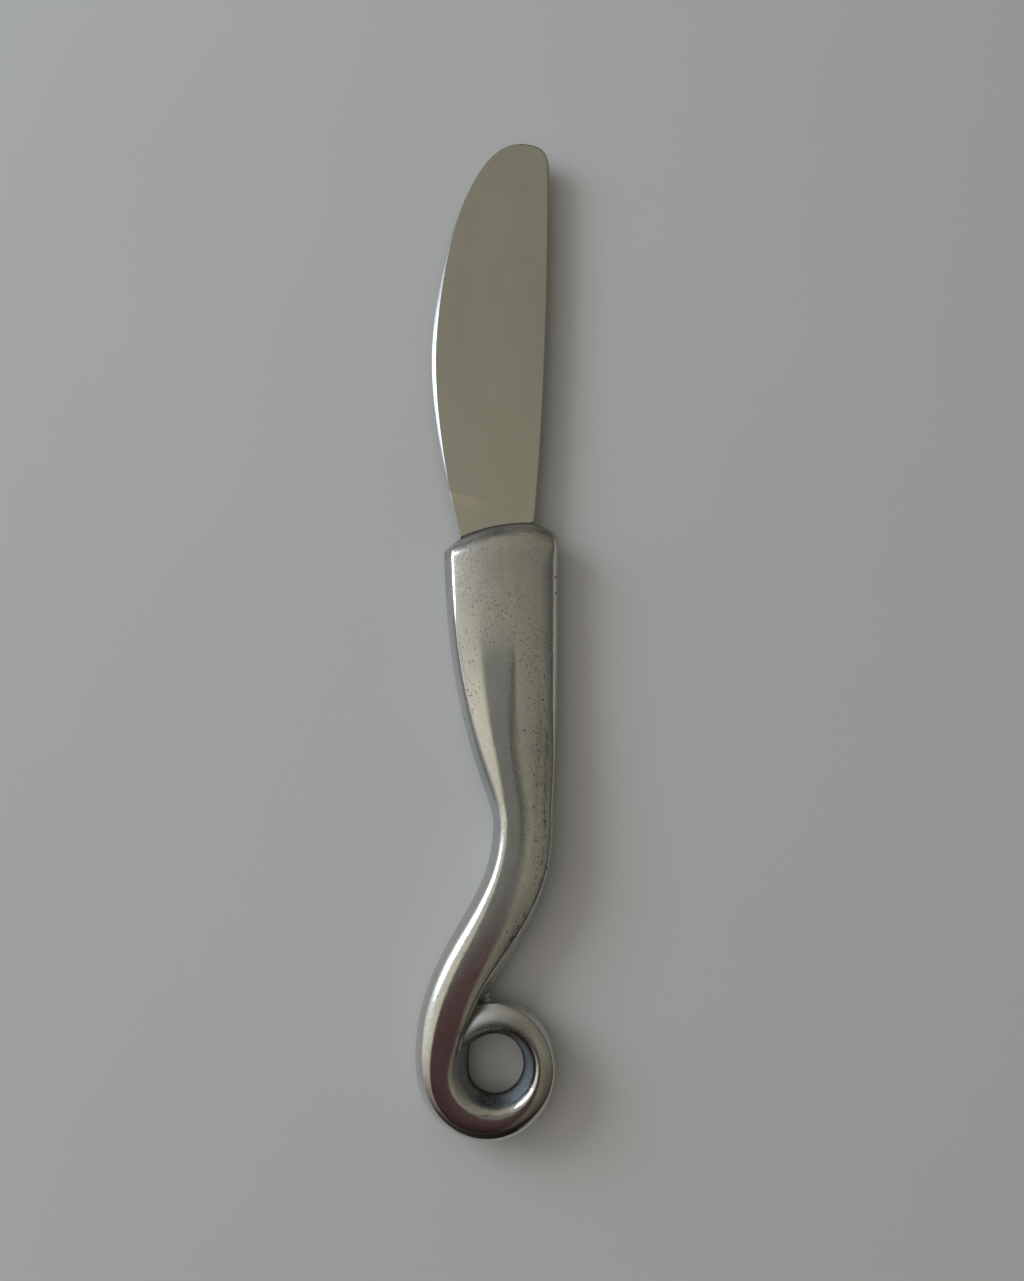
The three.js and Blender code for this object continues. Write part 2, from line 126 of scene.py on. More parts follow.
# Section forms: lean, softness and radius of the crown, each left and right, and place of the crest
NOSE_FORM = np.array((1.5, 0.7, 0.5, 0.7, 33, 33, 0))
GRIP_FORM = np.array((1.5, 1.0, 0.5, 2.6, 33, 33, 0))
WAIST_FORM = np.array((1.5, 1.0, 0.1, 2.6, 33, 33, 0))
NECK_FORM = np.array((1.4, 0.5, 1.1, 0.6, 14, 27, -0.17))
STEM_FORM = np.array((1.15, 1.5, 3.1, 0.6, 20, 30, -0.05))
LOOP_FORM = np.array((1.5, 2.2, 1.3, 1.4, 21, 19.5, -0.2))
ROLL_FORM = np.array((0.8, 2.2, 1.8, 1.3, 7, 7, -0.1))
SIDE_FORM = np.array((0.6, 2.2, 0.5, 1.0, 8, 9, 0.05))
TAIL_FORM = np.array((0.15, 0.9, 0.8, 1.2, 4, 4, 0.45))

# Where each form takes over from the one before, in lengths from the blade end to the neck
NECK_CHANGE = (0.35, 0.85)
FORM_CHANGES = (
    (GRIP_FORM, 0.08, 0.17),
    (WAIST_FORM, 0.24, 0.36),
    (NECK_FORM, *NECK_CHANGE),
    (STEM_FORM, 1.08, 1.55),
    (LOOP_FORM, 1.6, 1.85),
    (ROLL_FORM, 1.82, 2.04),
    (SIDE_FORM, 2.06, 2.22),
    (TAIL_FORM, 2.26, 2.5),
)

# The least shares of a section that its crowned face and its flat wall keep
FACE_LEAST = 0.3
WALL_LEAST = 0.25

# Depths that hand polishing has left in the handle's faces, and where the groove lies
RIPPLE = 0.006
SWELL = 0.008
WAVE = 0.012
GROOVE = 0.014
GROOVE_ACROSS = (5.9, 0.5)
GROOVE_ALONG = ((14, 24), (52, 66))

# Casting fillet in the corner between the stem and the loop's end
WEB_CORNER_ASIDE = 2.03
WEB_CORNER_ABOVE = 10.41
WEB_CORNER = np.array((LOOP_OUT - WEB_CORNER_ASIDE, WEB_CORNER_ABOVE - LOOP_ALONG))
WEB_STEM_SIDE = math.radians(62.8)
WEB_END_SIDE = math.radians(3.5)
WEB_BACK = math.radians(211)
WEB_LENGTH = 3
WEB_ROOT = 2.55
WEB_HEIGHT = 2.4
WEB_CUT = 0.97
WEB_HOLLOW = 0.9
WEB_SIDE_POWER = 1.4

# Fineness
CONTROL_STEPS_TO_NECK = 10
CONTROL_STEPS_TO_LOOP = 8
CONTROL_ANGLE = math.radians(30)
COURSE_STEPS = 6000
STATION_STEP = 0.5
NOSE_STATIONS = np.concatenate([[0, 0.03, 0.08, 0.16, 0.28], np.arange(0.45, 6, 0.25)])
SECTION_STEPS = (3, 6, 10, 14)
WEB_STEPS = 12
TANG_CORNER_STEPS = 8
KEY_HOLE_STEPS = 32
EDGE_STEPS = 110
TIP_STEPS = 130
ROUND_STEPS = 40
SPINE_STEPS = 90
ROOT_CORNER_STEPS = 10
SHOULDER_STEPS = 40
HANDLE_SHARP_ANGLE = math.radians(32)
BLADE_SHARP_ANGLE = math.radians(30)
FLAT_NORMAL = 0.9999

# Where the casting has groups of pits: x, y, reach across and reach along
PIT_GROUPS = (
    (-7.3, -13.1, 1.6, 3.0), (-4.6, -15.8, 2.2, 3.0), (-0.9, -18.5, 3.0, 3.5), (3.6, -15.5, 2.4, 3.0),
    (4.4, -22.5, 2.4, 4.0), (-6.4, -25.6, 1.8, 4.5), (-3.0, -21.5, 2.6, 3.0), (7.2, -24.5, 1.6, 5.0),
    (6.9, -36.0, 1.5, 7.0), (-5.2, -34.5, 1.2, 3.5), (7.2, -45.0, 1.5, 6.0), (8.0, -54.0, 1.4, 5.0),
    (-4.4, -78.0, 1.2, 1.6), (7.4, -62.0, 1.6, 4.0), (3.2, -77.0, 1.3, 4.0), (0.5, -83.5, 1.0, 3.0),
    (-3.5, -46.0, 1.0, 3.0), (5.4, -27.0, 1.3, 5.0), (6.3, -31.0, 1.2, 4.5), (4.9, -19.5, 1.2, 3.5),
)
PIT_STRENGTH = 1.5

# A pit's form, in sizes of its cell: how its outline is bent, how far it is drawn out, and its soft rim
PIT_BEND_SCALE = 3.2
PIT_BEND = (0.45, 0.6)
PIT_DRAWN = 0.7
PIT_RIM = (0.55, 1.15)

# A row of round pits in the grip's right wall: place on the bar, and radius where a pit ends and is full
WALL_DOTS_ACROSS = 10.4
WALL_DOTS_ALONG = (10.9, 14.1, 18.2, 20.7)
WALL_DOTS_UP = 0.4
WALL_DOTS_TALL = 0.15
WALL_DOTS_RADIUS = (0.36, 0.2)

# Wear along the bar, with painted shade on the left edge and the rim and a painted reflection on the left
# wall: distance in from its side, reach, and where along it a mark comes in and goes out
STREAKS = ((1.9, 0.4, 1.0), (3.5, 0.35, 0.5))
STREAKS_ALONG = ((33, 43), (60, 67))
SMUDGE_ACROSS = (1.7, 0.55)
SMUDGE_ALONG = (78, 3.5)
STEM_EDGE = (2.4, 3.6)
STEM_EDGE_ALONG = ((54, 64), (98, 110))
STEM_EDGE_DULL = 0.45
TAIL_DULL = (130, 142)
WALL_ACROSS = (0.9, 1.4)
WALL_END = (58, 74)
# A worn line on the grip's left edge, with painted shade over it that dims the window's highlight
WORN_EDGE_AND_SHADE = (1.45, 0.4)
WORN_EDGE_AND_SHADE_ALONG = ((14, 20), (50, 57))
# The rim on the right shoulder: scuffs, with painted shade for the dark room that the shoulder mirrors
RIM_INSET = 0.4
RIM_REACH = 0.45
RIM_ALONG = ((6, 16), (92, 100))

# Painted shade at the grip's blade end: a dark line in the gap against the blade and a darker right corner.
# Also how far back from it the metal is brushed
JOINT_FROM = 0.24
JOINT_TO = (0.95, 0.5)
JOINT_NARROWS = (-9, 2)
JOINT_START = (-10.4, -8.6)
JOINT_END = (6.5, 8.5)
JOINT_END_FADE = 0.5
# Painted shade on the right corner of the grip's blade end
CORNER_SHADE = 0.6
CORNER_ACROSS = (6.5, 9.5)
CORNER_BACK = (0.9, 2.2)
BRUSHED_BACK = (2.4, 3.4)

# Painted shade in the crease beside the loop's end, in plan
CREASE = ((-2.9, -88.6), (-6.6, -93.6))
CREASE_REACH = 0.7

# The loop's hole: which way its lit wall lies, how far its rough skin reaches, and how thick the soot and
# painted shade are, with a painted shadow at mid-thickness
HOLE_LIT_WAY = (0.97, -0.24)
HOLE_LIT = (0.2, 0.8)
HOLE_TOP = (0.2, 0.7)
HOLE_LEFT = (0.3, 0.8)
HOLE_REACH = (1.9, 1.65)
HOLE_BLUR = 0.4
HOLE_TOP_LESS = 0.5
SOOT_AND_SHADE_TOP_MORE = (0.5, 0.8)
SOOT_AND_SHADE_SIDES = (0.92, 0.5)
SOOT_AND_SHADE_TOP = 0.9
SOOT_AND_SHADE_LEFT = 0.5
# Painted shadow in the hole: how dark it is, and the heights over which it fades from mid-thickness
SHADOW_WAIST = 1.15
SHADOW_WAIST_UP = (0.2, 2.5)

# The blade's ground edge: how high up its sides it lies, and how far across the blade it goes
GROUND_FROM = 0.1
GROUND_RISE = 0.62
GROUND_FADE = 0.2
GROUND_ACROSS = (-1, 3.5)
FLAT_MARGIN = 0.001

# A faint wiped patch on the blade, in the part's frame: its upper border's start, end and slope
WIPE_START = (-7.2, 21.4)
WIPE_END = 1.5
WIPE_SLOPE = -0.31

# Colours of the handle
ALUMINIUM = ((0.62, 0.612, 0.585), (0.77, 0.76, 0.735))
DRAWN_GREY = (0.58, 0.57, 0.54)
WARM_GREY = (0.68, 0.64, 0.58)
PATCH_GREY = (0.53, 0.515, 0.5)
TAIL_GREY = (0.43, 0.42, 0.39)
# Painted reflection: the cool lit floor that the grip's left wall mirrors, as a blue tint
WALL_REFLECTION_BLUE = (0.5, 0.55, 0.62)
GRIP_BRIGHT = (0.86, 0.85, 0.81)
FRECKLE_BROWN = (0.36, 0.32, 0.28)
# Painted reflection: the window's cool light on the hole's wall that faces it, as a blue tint
HOLE_REFLECTION_BLUE = (0.46, 0.57, 0.68)
BRUSHED_GREY = (0.4, 0.4, 0.38)
# Dark grey for painted shade at the blade end, in the crease and on the edges, and for scuffs and smudges
OXIDE_AND_SHADE_DARK = (0.15, 0.15, 0.15)
# Soot with painted shade: the hole's walls darkened for the dark things they mirror and for a shadow at
# mid-thickness
SOOT_AND_SHADE_BLACK = (0.045, 0.044, 0.043)
PIT_DARK = (0.07, 0.064, 0.056)

# Colours of the blade, the bond and the floor
STEEL = ((0.612, 0.604, 0.547), (0.575, 0.572, 0.513))
STEEL_NEAR = (0.672, 0.671, 0.6)
WIPED = (0.82, 0.77, 0.7)
EPOXY = ((0.03, 0.029, 0.027), (0.075, 0.072, 0.066))
FLOOR = ((0.43, 0.435, 0.44), (0.45, 0.455, 0.46))

# Painted highlight on the blade's ground edge: its tones from its root to its tip, lightest where the
# window's highlight lies, in the part's frame
EDGE_HIGHLIGHT_SPAN = (18, 82)
EDGE_HIGHLIGHT_TONES = (
    (0.0, (0.2, 0.2, 0.195)),
    (0.1, (0.22, 0.22, 0.215)),
    (0.2, (0.3, 0.297, 0.29)),
    (0.33, (0.4, 0.397, 0.386)),
    (0.42, (0.56, 0.555, 0.54)),
    (0.52, (0.56, 0.555, 0.54)),
    (0.6, (0.43, 0.43, 0.42)),
    (0.72, (0.27, 0.273, 0.268)),
    (0.85, (0.22, 0.22, 0.215)),
    (0.95, (0.25, 0.25, 0.24)),
)

# The card over the object, in metres, and its tones from the loop's end to the blade's
CARD_HEIGHT = 0.2
CARD_CORNERS = (
    (-0.084, -0.24), (-0.084, -0.12), (-0.058, -0.085), (-0.056, 0.025),
    (0.027, 0.025), (0.027, -0.09), (0.021, -0.12), (0.021, -0.24),
)
CARD_SPAN = (-0.24, -0.06)
CARD_TONES = (
    (0.0, (0.03, 0.02, 0.02)),
    (0.35, (0.13, 0.08, 0.08)),
    (0.75, (0.3, 0.175, 0.18)),
    (1.0, (0.58, 0.59, 0.55)),
)
CARD_SIDE = (0.08, 0.08, 0.075)

# The room's tones from left to right, ahead and overhead, and its fall toward the back
ROOM_FAR = (
    (0.0, (0.75, 0.76, 0.74)),
    (0.2, (0.55, 0.54, 0.5)),
    (0.325, (0.37, 0.36, 0.325)),
    (0.5, (0.31, 0.293, 0.24)),
    (0.7, (0.22, 0.21, 0.172)),
    (0.9, (0.125, 0.123, 0.105)),
    (1.0, (0.12, 0.118, 0.1)),
)
ROOM_NEAR = (
    (0.0, (0.8, 0.81, 0.79)),
    (0.2, (0.74, 0.72, 0.63)),
    (0.325, (0.68, 0.66, 0.54)),
    (0.43, (0.49, 0.47, 0.375)),
    (0.5, (0.32, 0.31, 0.245)),
    (0.65, (0.23, 0.23, 0.182)),
    (0.85, (0.12, 0.12, 0.102)),
    (1.0, (0.11, 0.11, 0.095)),
)
ROOM_BACK_SPAN = (-0.7, -0.1)
ROOM_BACK = (
    (0.0, (0.06, 0.05, 0.05)),
    (0.6, (0.47, 0.44, 0.43)),
    (1.0, (1, 1, 1)),
)
ROOM_HORIZON = (
    (0.1, (0.32, 0.34, 0.36)),
    (0.25, (0.22, 0.24, 0.26)),
    (0.45, (0.1, 0.104, 0.098)),
    (0.8, (0.085, 0.088, 0.082)),
)
ROOM_LOW = (0.02, 0.02, 0.022)
ROOM_CORNER = (0.18, 0.175, 0.16)

# Lamps and floor, in metres, with the lamps' brightness
WINDOW_SIZE = (0.6, 0.48)
WINDOW_RADIANCE = 7.0
WINDOW_COLOUR = (0.76, 0.87, 1.0)
WINDOW_AZIMUTH = math.radians(154)
WINDOW_RISE = math.radians(30)
WINDOW_AWAY = 1.05
FILL_SIZE = (2.6, 2.6)
FILL_RADIANCE = 0.5
FILL_COLOUR = (1.0, 0.94, 0.86)
FILL_PLACE = (-1.0, 0.2, 0.9)
FLOOR_CORNERS = ((-3, -3), (3, -3), (3, 3), (-3, 3))

# The photo's view: the lens as a share of the picture's width, its place and which ways it is turned
SENSOR_WIDTH = 36
LENS_SHARE = 1025 / 1281
CLIP_START = 0.001
VIEW_PLACE = (-0.709, -57.044, 193.4)
VIEW_RIGHT = (0.99989, 0, 0.01506)
VIEW_UP = (-0.00264, 0.98455, 0.17507)
VIEW_BACK = (-0.01483, -0.17509, 0.98444)

# From the grip's axis to the part's frame: the blade's own sizes give the shift
blade_low, blade_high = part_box("blade")
SHIFT = np.array((
    blade_high.x / MM - SPINE_TIP_OUT,
    blade_high.y / MM - BLADE_LENGTH,
    (blade_low.z + blade_high.z) / 2 / MM,
))


def mix(a, b, share):
    return a + (b - a) * share


def smoothstep(x, low, high):
    share = np.clip((x - low) / (high - low), 0, 1)
    return share * share * (3 - 2 * share)


def falling(x, low, high):
    """From 1 at the low end to 0 at the high end."""
    return 1 - smoothstep(x, low, high)


def band(x, rise, fall):
    """Up to 1 between the first two places, and back to 0 between the last two."""
    return smoothstep(x, *rise) * falling(x, *fall)


def hump(x, centre, reach):
    return np.exp(-((x - centre) / reach) ** 2)


def soft_least(a, b, reach):
    """The smaller of two values, with a rounded turn where they cross."""
    share = np.clip(0.5 + 0.5 * (b - a) / reach, 0, 1)
    return mix(b, a, share) - reach * share * (1 - share)


def shares(steps):
    return np.linspace(0, 1, steps + 1)


def bezier(points, share):
    """Points on a straight, quadratic or cubic curve, one row for each share."""
    share = np.atleast_1d(share)[:, None]
    rows = [np.array(p, float)[None, :] for p in points]
    while len(rows) > 1:
        rows = [mix(a, b, share) for a, b in zip(rows, rows[1:])]
    return rows[0]


def spline(controls, share):
    """A clamped cubic B-spline through the controls' hull."""
    inner = len(controls) - 4
    knots = np.array([0] * 4 + [i / (inner + 1) for i in range(1, inner + 1)] + [1] * 4, float)
    span = np.clip(np.searchsorted(knots, share, side="right") - 1, 3, len(controls) - 1)
    rows = [controls[span - 3 + j] for j in range(4)]
    for level in range(1, 4):
        for j in range(3, level - 1, -1):
            low = knots[span - 3 + j]
            high = knots[span + 1 + j - level]
            rows[j] = mix(rows[j - 1], rows[j], ((share - low) / (high - low))[:, None])
    return rows[3]


def nose_line(x):
    """How far along the grip's blade end lies, across the grip."""
    half = GRIP_WIDTH / 2
    away = np.asarray(x, float) - NOSE_PEAK_OUT
    edge_side = NOSE_DROP_EDGE_SIDE * (away / (half + NOSE_PEAK_OUT)) ** 2
    spine_side = NOSE_DROP_SPINE_SIDE * (np.abs(away) / (half - NOSE_PEAK_OUT)) ** NOSE_SPINE_SIDE_POWER
    return -np.where(away < 0, edge_side, spine_side)


def handle_course():
    """Distances along the bar's middle line, and (x, y, half the width) at each."""
    hole = LOOP_HOLE_DIAMETER / 2
    entry = LOOP_OUT - hole - LOOP_BAR_WIDTH / 2
    neck = (NECK_OUT, -NECK_ALONG)
    to_neck = bezier(
        [(0, 0), (0, -NECK_EASE_IN), (NECK_OUT, -NECK_ALONG + NECK_ROUND_ABOVE), neck],
        shares(CONTROL_STEPS_TO_NECK),
    )
    to_loop = bezier(
        [neck, (NECK_OUT, -NECK_ALONG - NECK_ROUND_BELOW),
         (entry, -LOOP_ALONG + LOOP_ENTRY), (entry, -LOOP_ALONG)],
        shares(CONTROL_STEPS_TO_LOOP),
    )
    controls = []
    for x, y in to_neck:
        taper = min(1, (-y / (TAPER_SHARE * NECK_ALONG)) ** TAPER_POWER)
        controls.append((x, y, mix(GRIP_WIDTH, NECK_WIDTH, taper) / 2))
    for i, (x, y) in enumerate(to_loop[1:], 1):
        taper = (i / CONTROL_STEPS_TO_LOOP) ** STEM_TAPER_POWER
        controls.append((x, y, mix(NECK_WIDTH, LOOP_BAR_WIDTH, taper) / 2))
    # On a circle the spline runs inside its controls, by this share of their radius
    pull = (2 + math.cos(CONTROL_ANGLE)) / 3
    for i in range(1, round(LOOP_TURN / CONTROL_ANGLE) + 1):
        turned = i * CONTROL_ANGLE
        width = mix(LOOP_BAR_WIDTH, LOOP_END_WIDTH, smoothstep(turned, 0, LOOP_THINNING))
        sink = TAIL_SINK * smoothstep(turned, TAIL_FROM, LOOP_TURN)
        radius = (hole + width / 2 + sink) / pull
        angle = math.pi + turned
        x = LOOP_OUT + radius * math.cos(angle)
        y = -LOOP_ALONG + radius * math.sin(angle)
        controls.append((x, y, width / 2))
    points = spline(np.array(controls), shares(COURSE_STEPS))
    steps = np.linalg.norm(np.diff(points, axis=0), axis=1)
    return np.concatenate([[0], np.cumsum(steps)]), points


def half_of(along):
    """Half the bar's width, along the bar."""
    run, points = handle_course()
    return np.interp(along, run, points[:, 2])


def shoulder_of(along):
    """How far out the right shoulder lies, along the bar."""
    lean = mix(GRIP_FORM[1], NECK_FORM[1], smoothstep(along / NECK_ALONG, *NECK_CHANGE))
    return half_of(along) - lean - RIM_INSET


def quarter_section(half, tall, lean, soft, crown):
    """A quarter of the bar's section, from its side at mid-thickness to its crest."""
    edge_out = half - lean
    inner = max(edge_out - soft, edge_out * FACE_LEAST)
    fall = 1 / (2 * crown)
    edge = np.array((edge_out, tall - fall * inner * (2 * edge_out - inner)))
    ridge_up = edge[1] * RIDGE / (lean + RIDGE)
    wall_start = np.array((half - RIDGE, 2 * ridge_up))
    wall_share = max(WALL_LEAST, 1 - soft / np.linalg.norm(edge - wall_start))
    wall_end = mix(wall_start, edge, wall_share)
    shoulder = (inner, tall - fall * inner ** 2)
    runs = (
        ((half, 0), (half, ridge_up), wall_start),
        (wall_start, wall_end),
        (wall_end, edge, shoulder),
        (shoulder, (inner / 2, tall), (0, tall)),
    )
    rows = [bezier(run, shares(steps))[1:] for run, steps in zip(runs, SECTION_STEPS)]
    return np.concatenate([[(half, 0)], *rows])


def section_ring(distance, half, tall):
    """The bar's whole section: how far across and up each point lies."""
    form = NOSE_FORM
    for later, start, end in FORM_CHANGES:
        form = mix(form, later, smoothstep(distance / NECK_ALONG, start, end))
    lean_left, lean_right, soft_left, soft_right, crown_left, crown_right, crest = form
    crest *= half
    right = quarter_section(half - crest, tall, lean_right, soft_right, crown_right)
    left = quarter_section(half + crest, tall, lean_left, soft_left, crown_left)
    upper = np.concatenate([right, (left * (-1, 1))[-2::-1]]) + (crest, 0)
    lower = (upper * (1, -1))[-2:0:-1]
    return np.concatenate([upper, lower])


def unevenness(along, across):
    """How far hand polishing has lowered the face, in millimetres."""
    ripple = RIPPLE * (1 + np.sin(1.9 * across + 0.9 * np.sin(0.045 * along) + 0.4))
    swell = SWELL * (1 + np.sin(0.83 * across - 0.6 * np.sin(0.031 * along + 1.1) + 2.0))
    wave = WAVE * (1 + np.sin(0.16 * along + 0.5 * np.sin(0.5 * across)))
    groove = GROOVE * hump(across, *GROOVE_ACROSS) * band(along, *GROOVE_ALONG)
    return ripple + swell + wave + groove


def nose_rise(distance, tall):
    """The bar's height behind its blade end, as a share of its full height."""
    rise = soft_least(mix(NOSE_LIP / HANDLE_THICKNESS, 1, distance / NOSE_BEVEL), 1, NOSE_SOFT)
    lip = max(0, LIP_ROUND - distance)
    return rise - (LIP_ROUND - math.sqrt(LIP_ROUND ** 2 - lip ** 2)) / tall


def nose_across(across, distance, half):
    """Places across the bar, drawn in at the two rounded corners of its blade end."""
    corner = np.where(across > 0, NOSE_CORNER_SPINE_SIDE, NOSE_CORNER_EDGE_SIDE)
    cut = np.maximum(0, corner - distance)
    inset = corner - np.sqrt(corner ** 2 - cut ** 2)
    return across * (1 - inset / half)


def handle_rings():
    """Rings of points along the bar, and for each point how far across, along and up the bar it lies."""
    run, points = handle_course()
    length = run[-1]
    slope = np.gradient(points[:, :2], run, axis=0)
    count = round((length - NOSE_STATIONS[-1]) / STATION_STEP)
    stations = np.linspace(NOSE_STATIONS[-1], length, count + 1)[1:]
    rings, flows = [], []
    for distance in np.concatenate([NOSE_STATIONS, stations]):
        x, y, half = (np.interp(distance, run, points[:, i]) for i in range(3))
        tangent = np.array([np.interp(distance, run, slope[:, i]) for i in range(2)])
        tangent /= np.linalg.norm(tangent)
        thinning = smoothstep(distance, length - TAIL_TAPER, length)
        tall = mix(HANDLE_THICKNESS, TAIL_THICKNESS, thinning) / 2
        across, up = section_ring(distance, half, tall).T
        across = nose_across(across, distance, half)
        fade = np.where(across < NOSE_PEAK_OUT, NOSE_FADE_EDGE_SIDE, NOSE_FADE_SPINE_SIDE)
        bow = -nose_line(across) * np.maximum(0, 1 - distance / fade) ** 2
        worn = 1 - unevenness(distance, across) * (np.abs(up) / tall) ** 2 / tall
        rings.append(np.column_stack([
            x - tangent[1] * across + tangent[0] * bow,
            y + tangent[0] * across + tangent[1] * bow,
            up * nose_rise(distance, tall) * worn,
        ]))
        flows.append(np.column_stack([across, distance + bow, up]))
    return rings, flows


def link(name, data):
    obj = bpy.data.objects.new(name, data)
    bpy.context.scene.collection.objects.link(obj)
    return obj


def new_object(name, points, faces):
    mesh = bpy.data.meshes.new(name)
    mesh.from_pydata([((p + SHIFT) * MM).tolist() for p in points], [], faces)
    mesh.validate()
    return link(name, mesh)


def ring_sides(rings, count):
    """Faces between rings that have the same count of points."""
    faces = []
    for low in range(0, (rings - 1) * count, count):
        high = low + count
        for i in range(count):
            after = (i + 1) % count
            faces.append((low + i, low + after, high + after, high + i))
    return faces


def ring_caps(rings, count):
    """One face over the first ring and one over the last."""
    last = (rings - 1) * count
    return [tuple(range(count - 1, -1, -1)), tuple(range(last, last + count))]


def loft(name, rings):
    """A skin over rings that mirror themselves, closed at both ends by strips from side to side."""
    count = len(rings[0])
    half = count // 2
    faces = ring_sides(len(rings), count)
    for start, flip in ((0, False), ((len(rings) - 1) * count, True)):
        for i in range(half):
            strip = [i, (-i) % count, (-i - 1) % count, i + 1]
            if i == 0:
                strip.pop(1)
            if i == half - 1:
                strip.pop()
            if flip:
                strip.reverse()
            faces.append(tuple(start + place for place in strip))
    return new_object(name, np.concatenate(rings), faces)


def prism(name, outline, thickness):
    count = len(outline)
    low = np.column_stack([outline, np.full(count, -thickness / 2)])
    high = np.column_stack([outline, np.full(count, thickness / 2)])
    return new_object(name, np.concatenate([low, high]), ring_caps(2, count) + ring_sides(2, count))


def combine(target, operation, tool, overlapping=False):
    """Joins or cuts target with tool, and removes tool."""
    modifier = target.modifiers.new("combine", "BOOLEAN")
    modifier.operation = operation
    modifier.solver = "EXACT"
    modifier.object = tool
    modifier.use_self = overlapping
    evaluated = target.evaluated_get(bpy.context.evaluated_depsgraph_get())
    mesh = bpy.data.meshes.new_from_object(evaluated)
    target.modifiers.clear()
    old = target.data
    target.data = mesh
    bpy.data.meshes.remove(old)
    bpy.data.objects.remove(tool)


def smooth_by_angle(obj, angle):
    mesh = obj.data
    mesh.polygons.foreach_set("use_smooth", np.ones(len(mesh.polygons), bool))
    mesh.set_sharp_from_angle(angle=angle)


def tang_outline(margin):
    """Outline of the tang, grown by a margin, counter-clockwise from its front right corner."""
    end = TANG_END_WIDTH / 2 + margin
    tail = -TANG_LENGTH - margin
    corner = TANG_CORNER + margin
    widening = 1 + TANG_OVERLAP / (TANG_LENGTH - TANG_CORNER)
    front = mix(TANG_END_WIDTH, TANG_ROOT_WIDTH, widening) / 2 + margin
    share = shares(TANG_CORNER_STEPS)
    left = bezier([(-end, tail + corner), (-end, tail), (-end + corner, tail)], share)
    right = bezier([(end - corner, tail), (end, tail), (end, tail + corner)], share)
    return np.concatenate([[(front, TANG_OVERLAP), (-front, TANG_OVERLAP)], left, right])


def web_place(angle, distance):
    return WEB_CORNER + distance * np.array((math.cos(angle), math.sin(angle)))


def fillet_wedge():
    """A low heap in the corner in plan, with hollow sides. Its foot is at mid-thickness."""
    stem_foot = web_place(WEB_STEM_SIDE, WEB_LENGTH)
    back_foot = web_place(WEB_BACK, WEB_ROOT)
    end_foot = web_place(WEB_END_SIDE, WEB_LENGTH)
    peak = web_place(WEB_BACK, WEB_ROOT / 2)
    share = shares(WEB_STEPS)[:-1, None]
    outline = np.concatenate([
        mix(stem_foot, back_foot, share),
        mix(back_foot, end_foot, share),
        bezier([end_foot, mix(back_foot, WEB_CORNER, WEB_HOLLOW), stem_foot], share[:, 0]),
    ])
    count = len(outline)
    rings = []
    for height in np.linspace(-WEB_CUT, WEB_CUT, 2 * WEB_STEPS + 1):
        ring = mix(peak, outline, (1 - abs(height)) ** WEB_SIDE_POWER)
        rings.append(np.column_stack([ring, np.full(count, height * WEB_HEIGHT)]))
    faces = ring_caps(len(rings), count) + ring_sides(len(rings), count)
    return new_object("fillet", np.concatenate(rings), faces)


def make_handle():
    rings, flows = handle_rings()
    handle = loft("cast_handle", rings)
    socket = prism("socket", tang_outline(BOND_THICKNESS), TANG_THICKNESS + 2 * BOND_THICKNESS)
    combine(handle, "UNION", fillet_wedge(), overlapping=True)
    combine(handle, "DIFFERENCE", socket, overlapping=True)
    smooth_by_angle(handle, HANDLE_SHARP_ANGLE)
    mark_handle(handle, np.concatenate(rings), np.concatenate(flows))
    return handle


def shoulder_line(x):
    """How far along the blade's shoulder lies, across the blade."""
    return nose_line(x) + SHOULDER_GAP


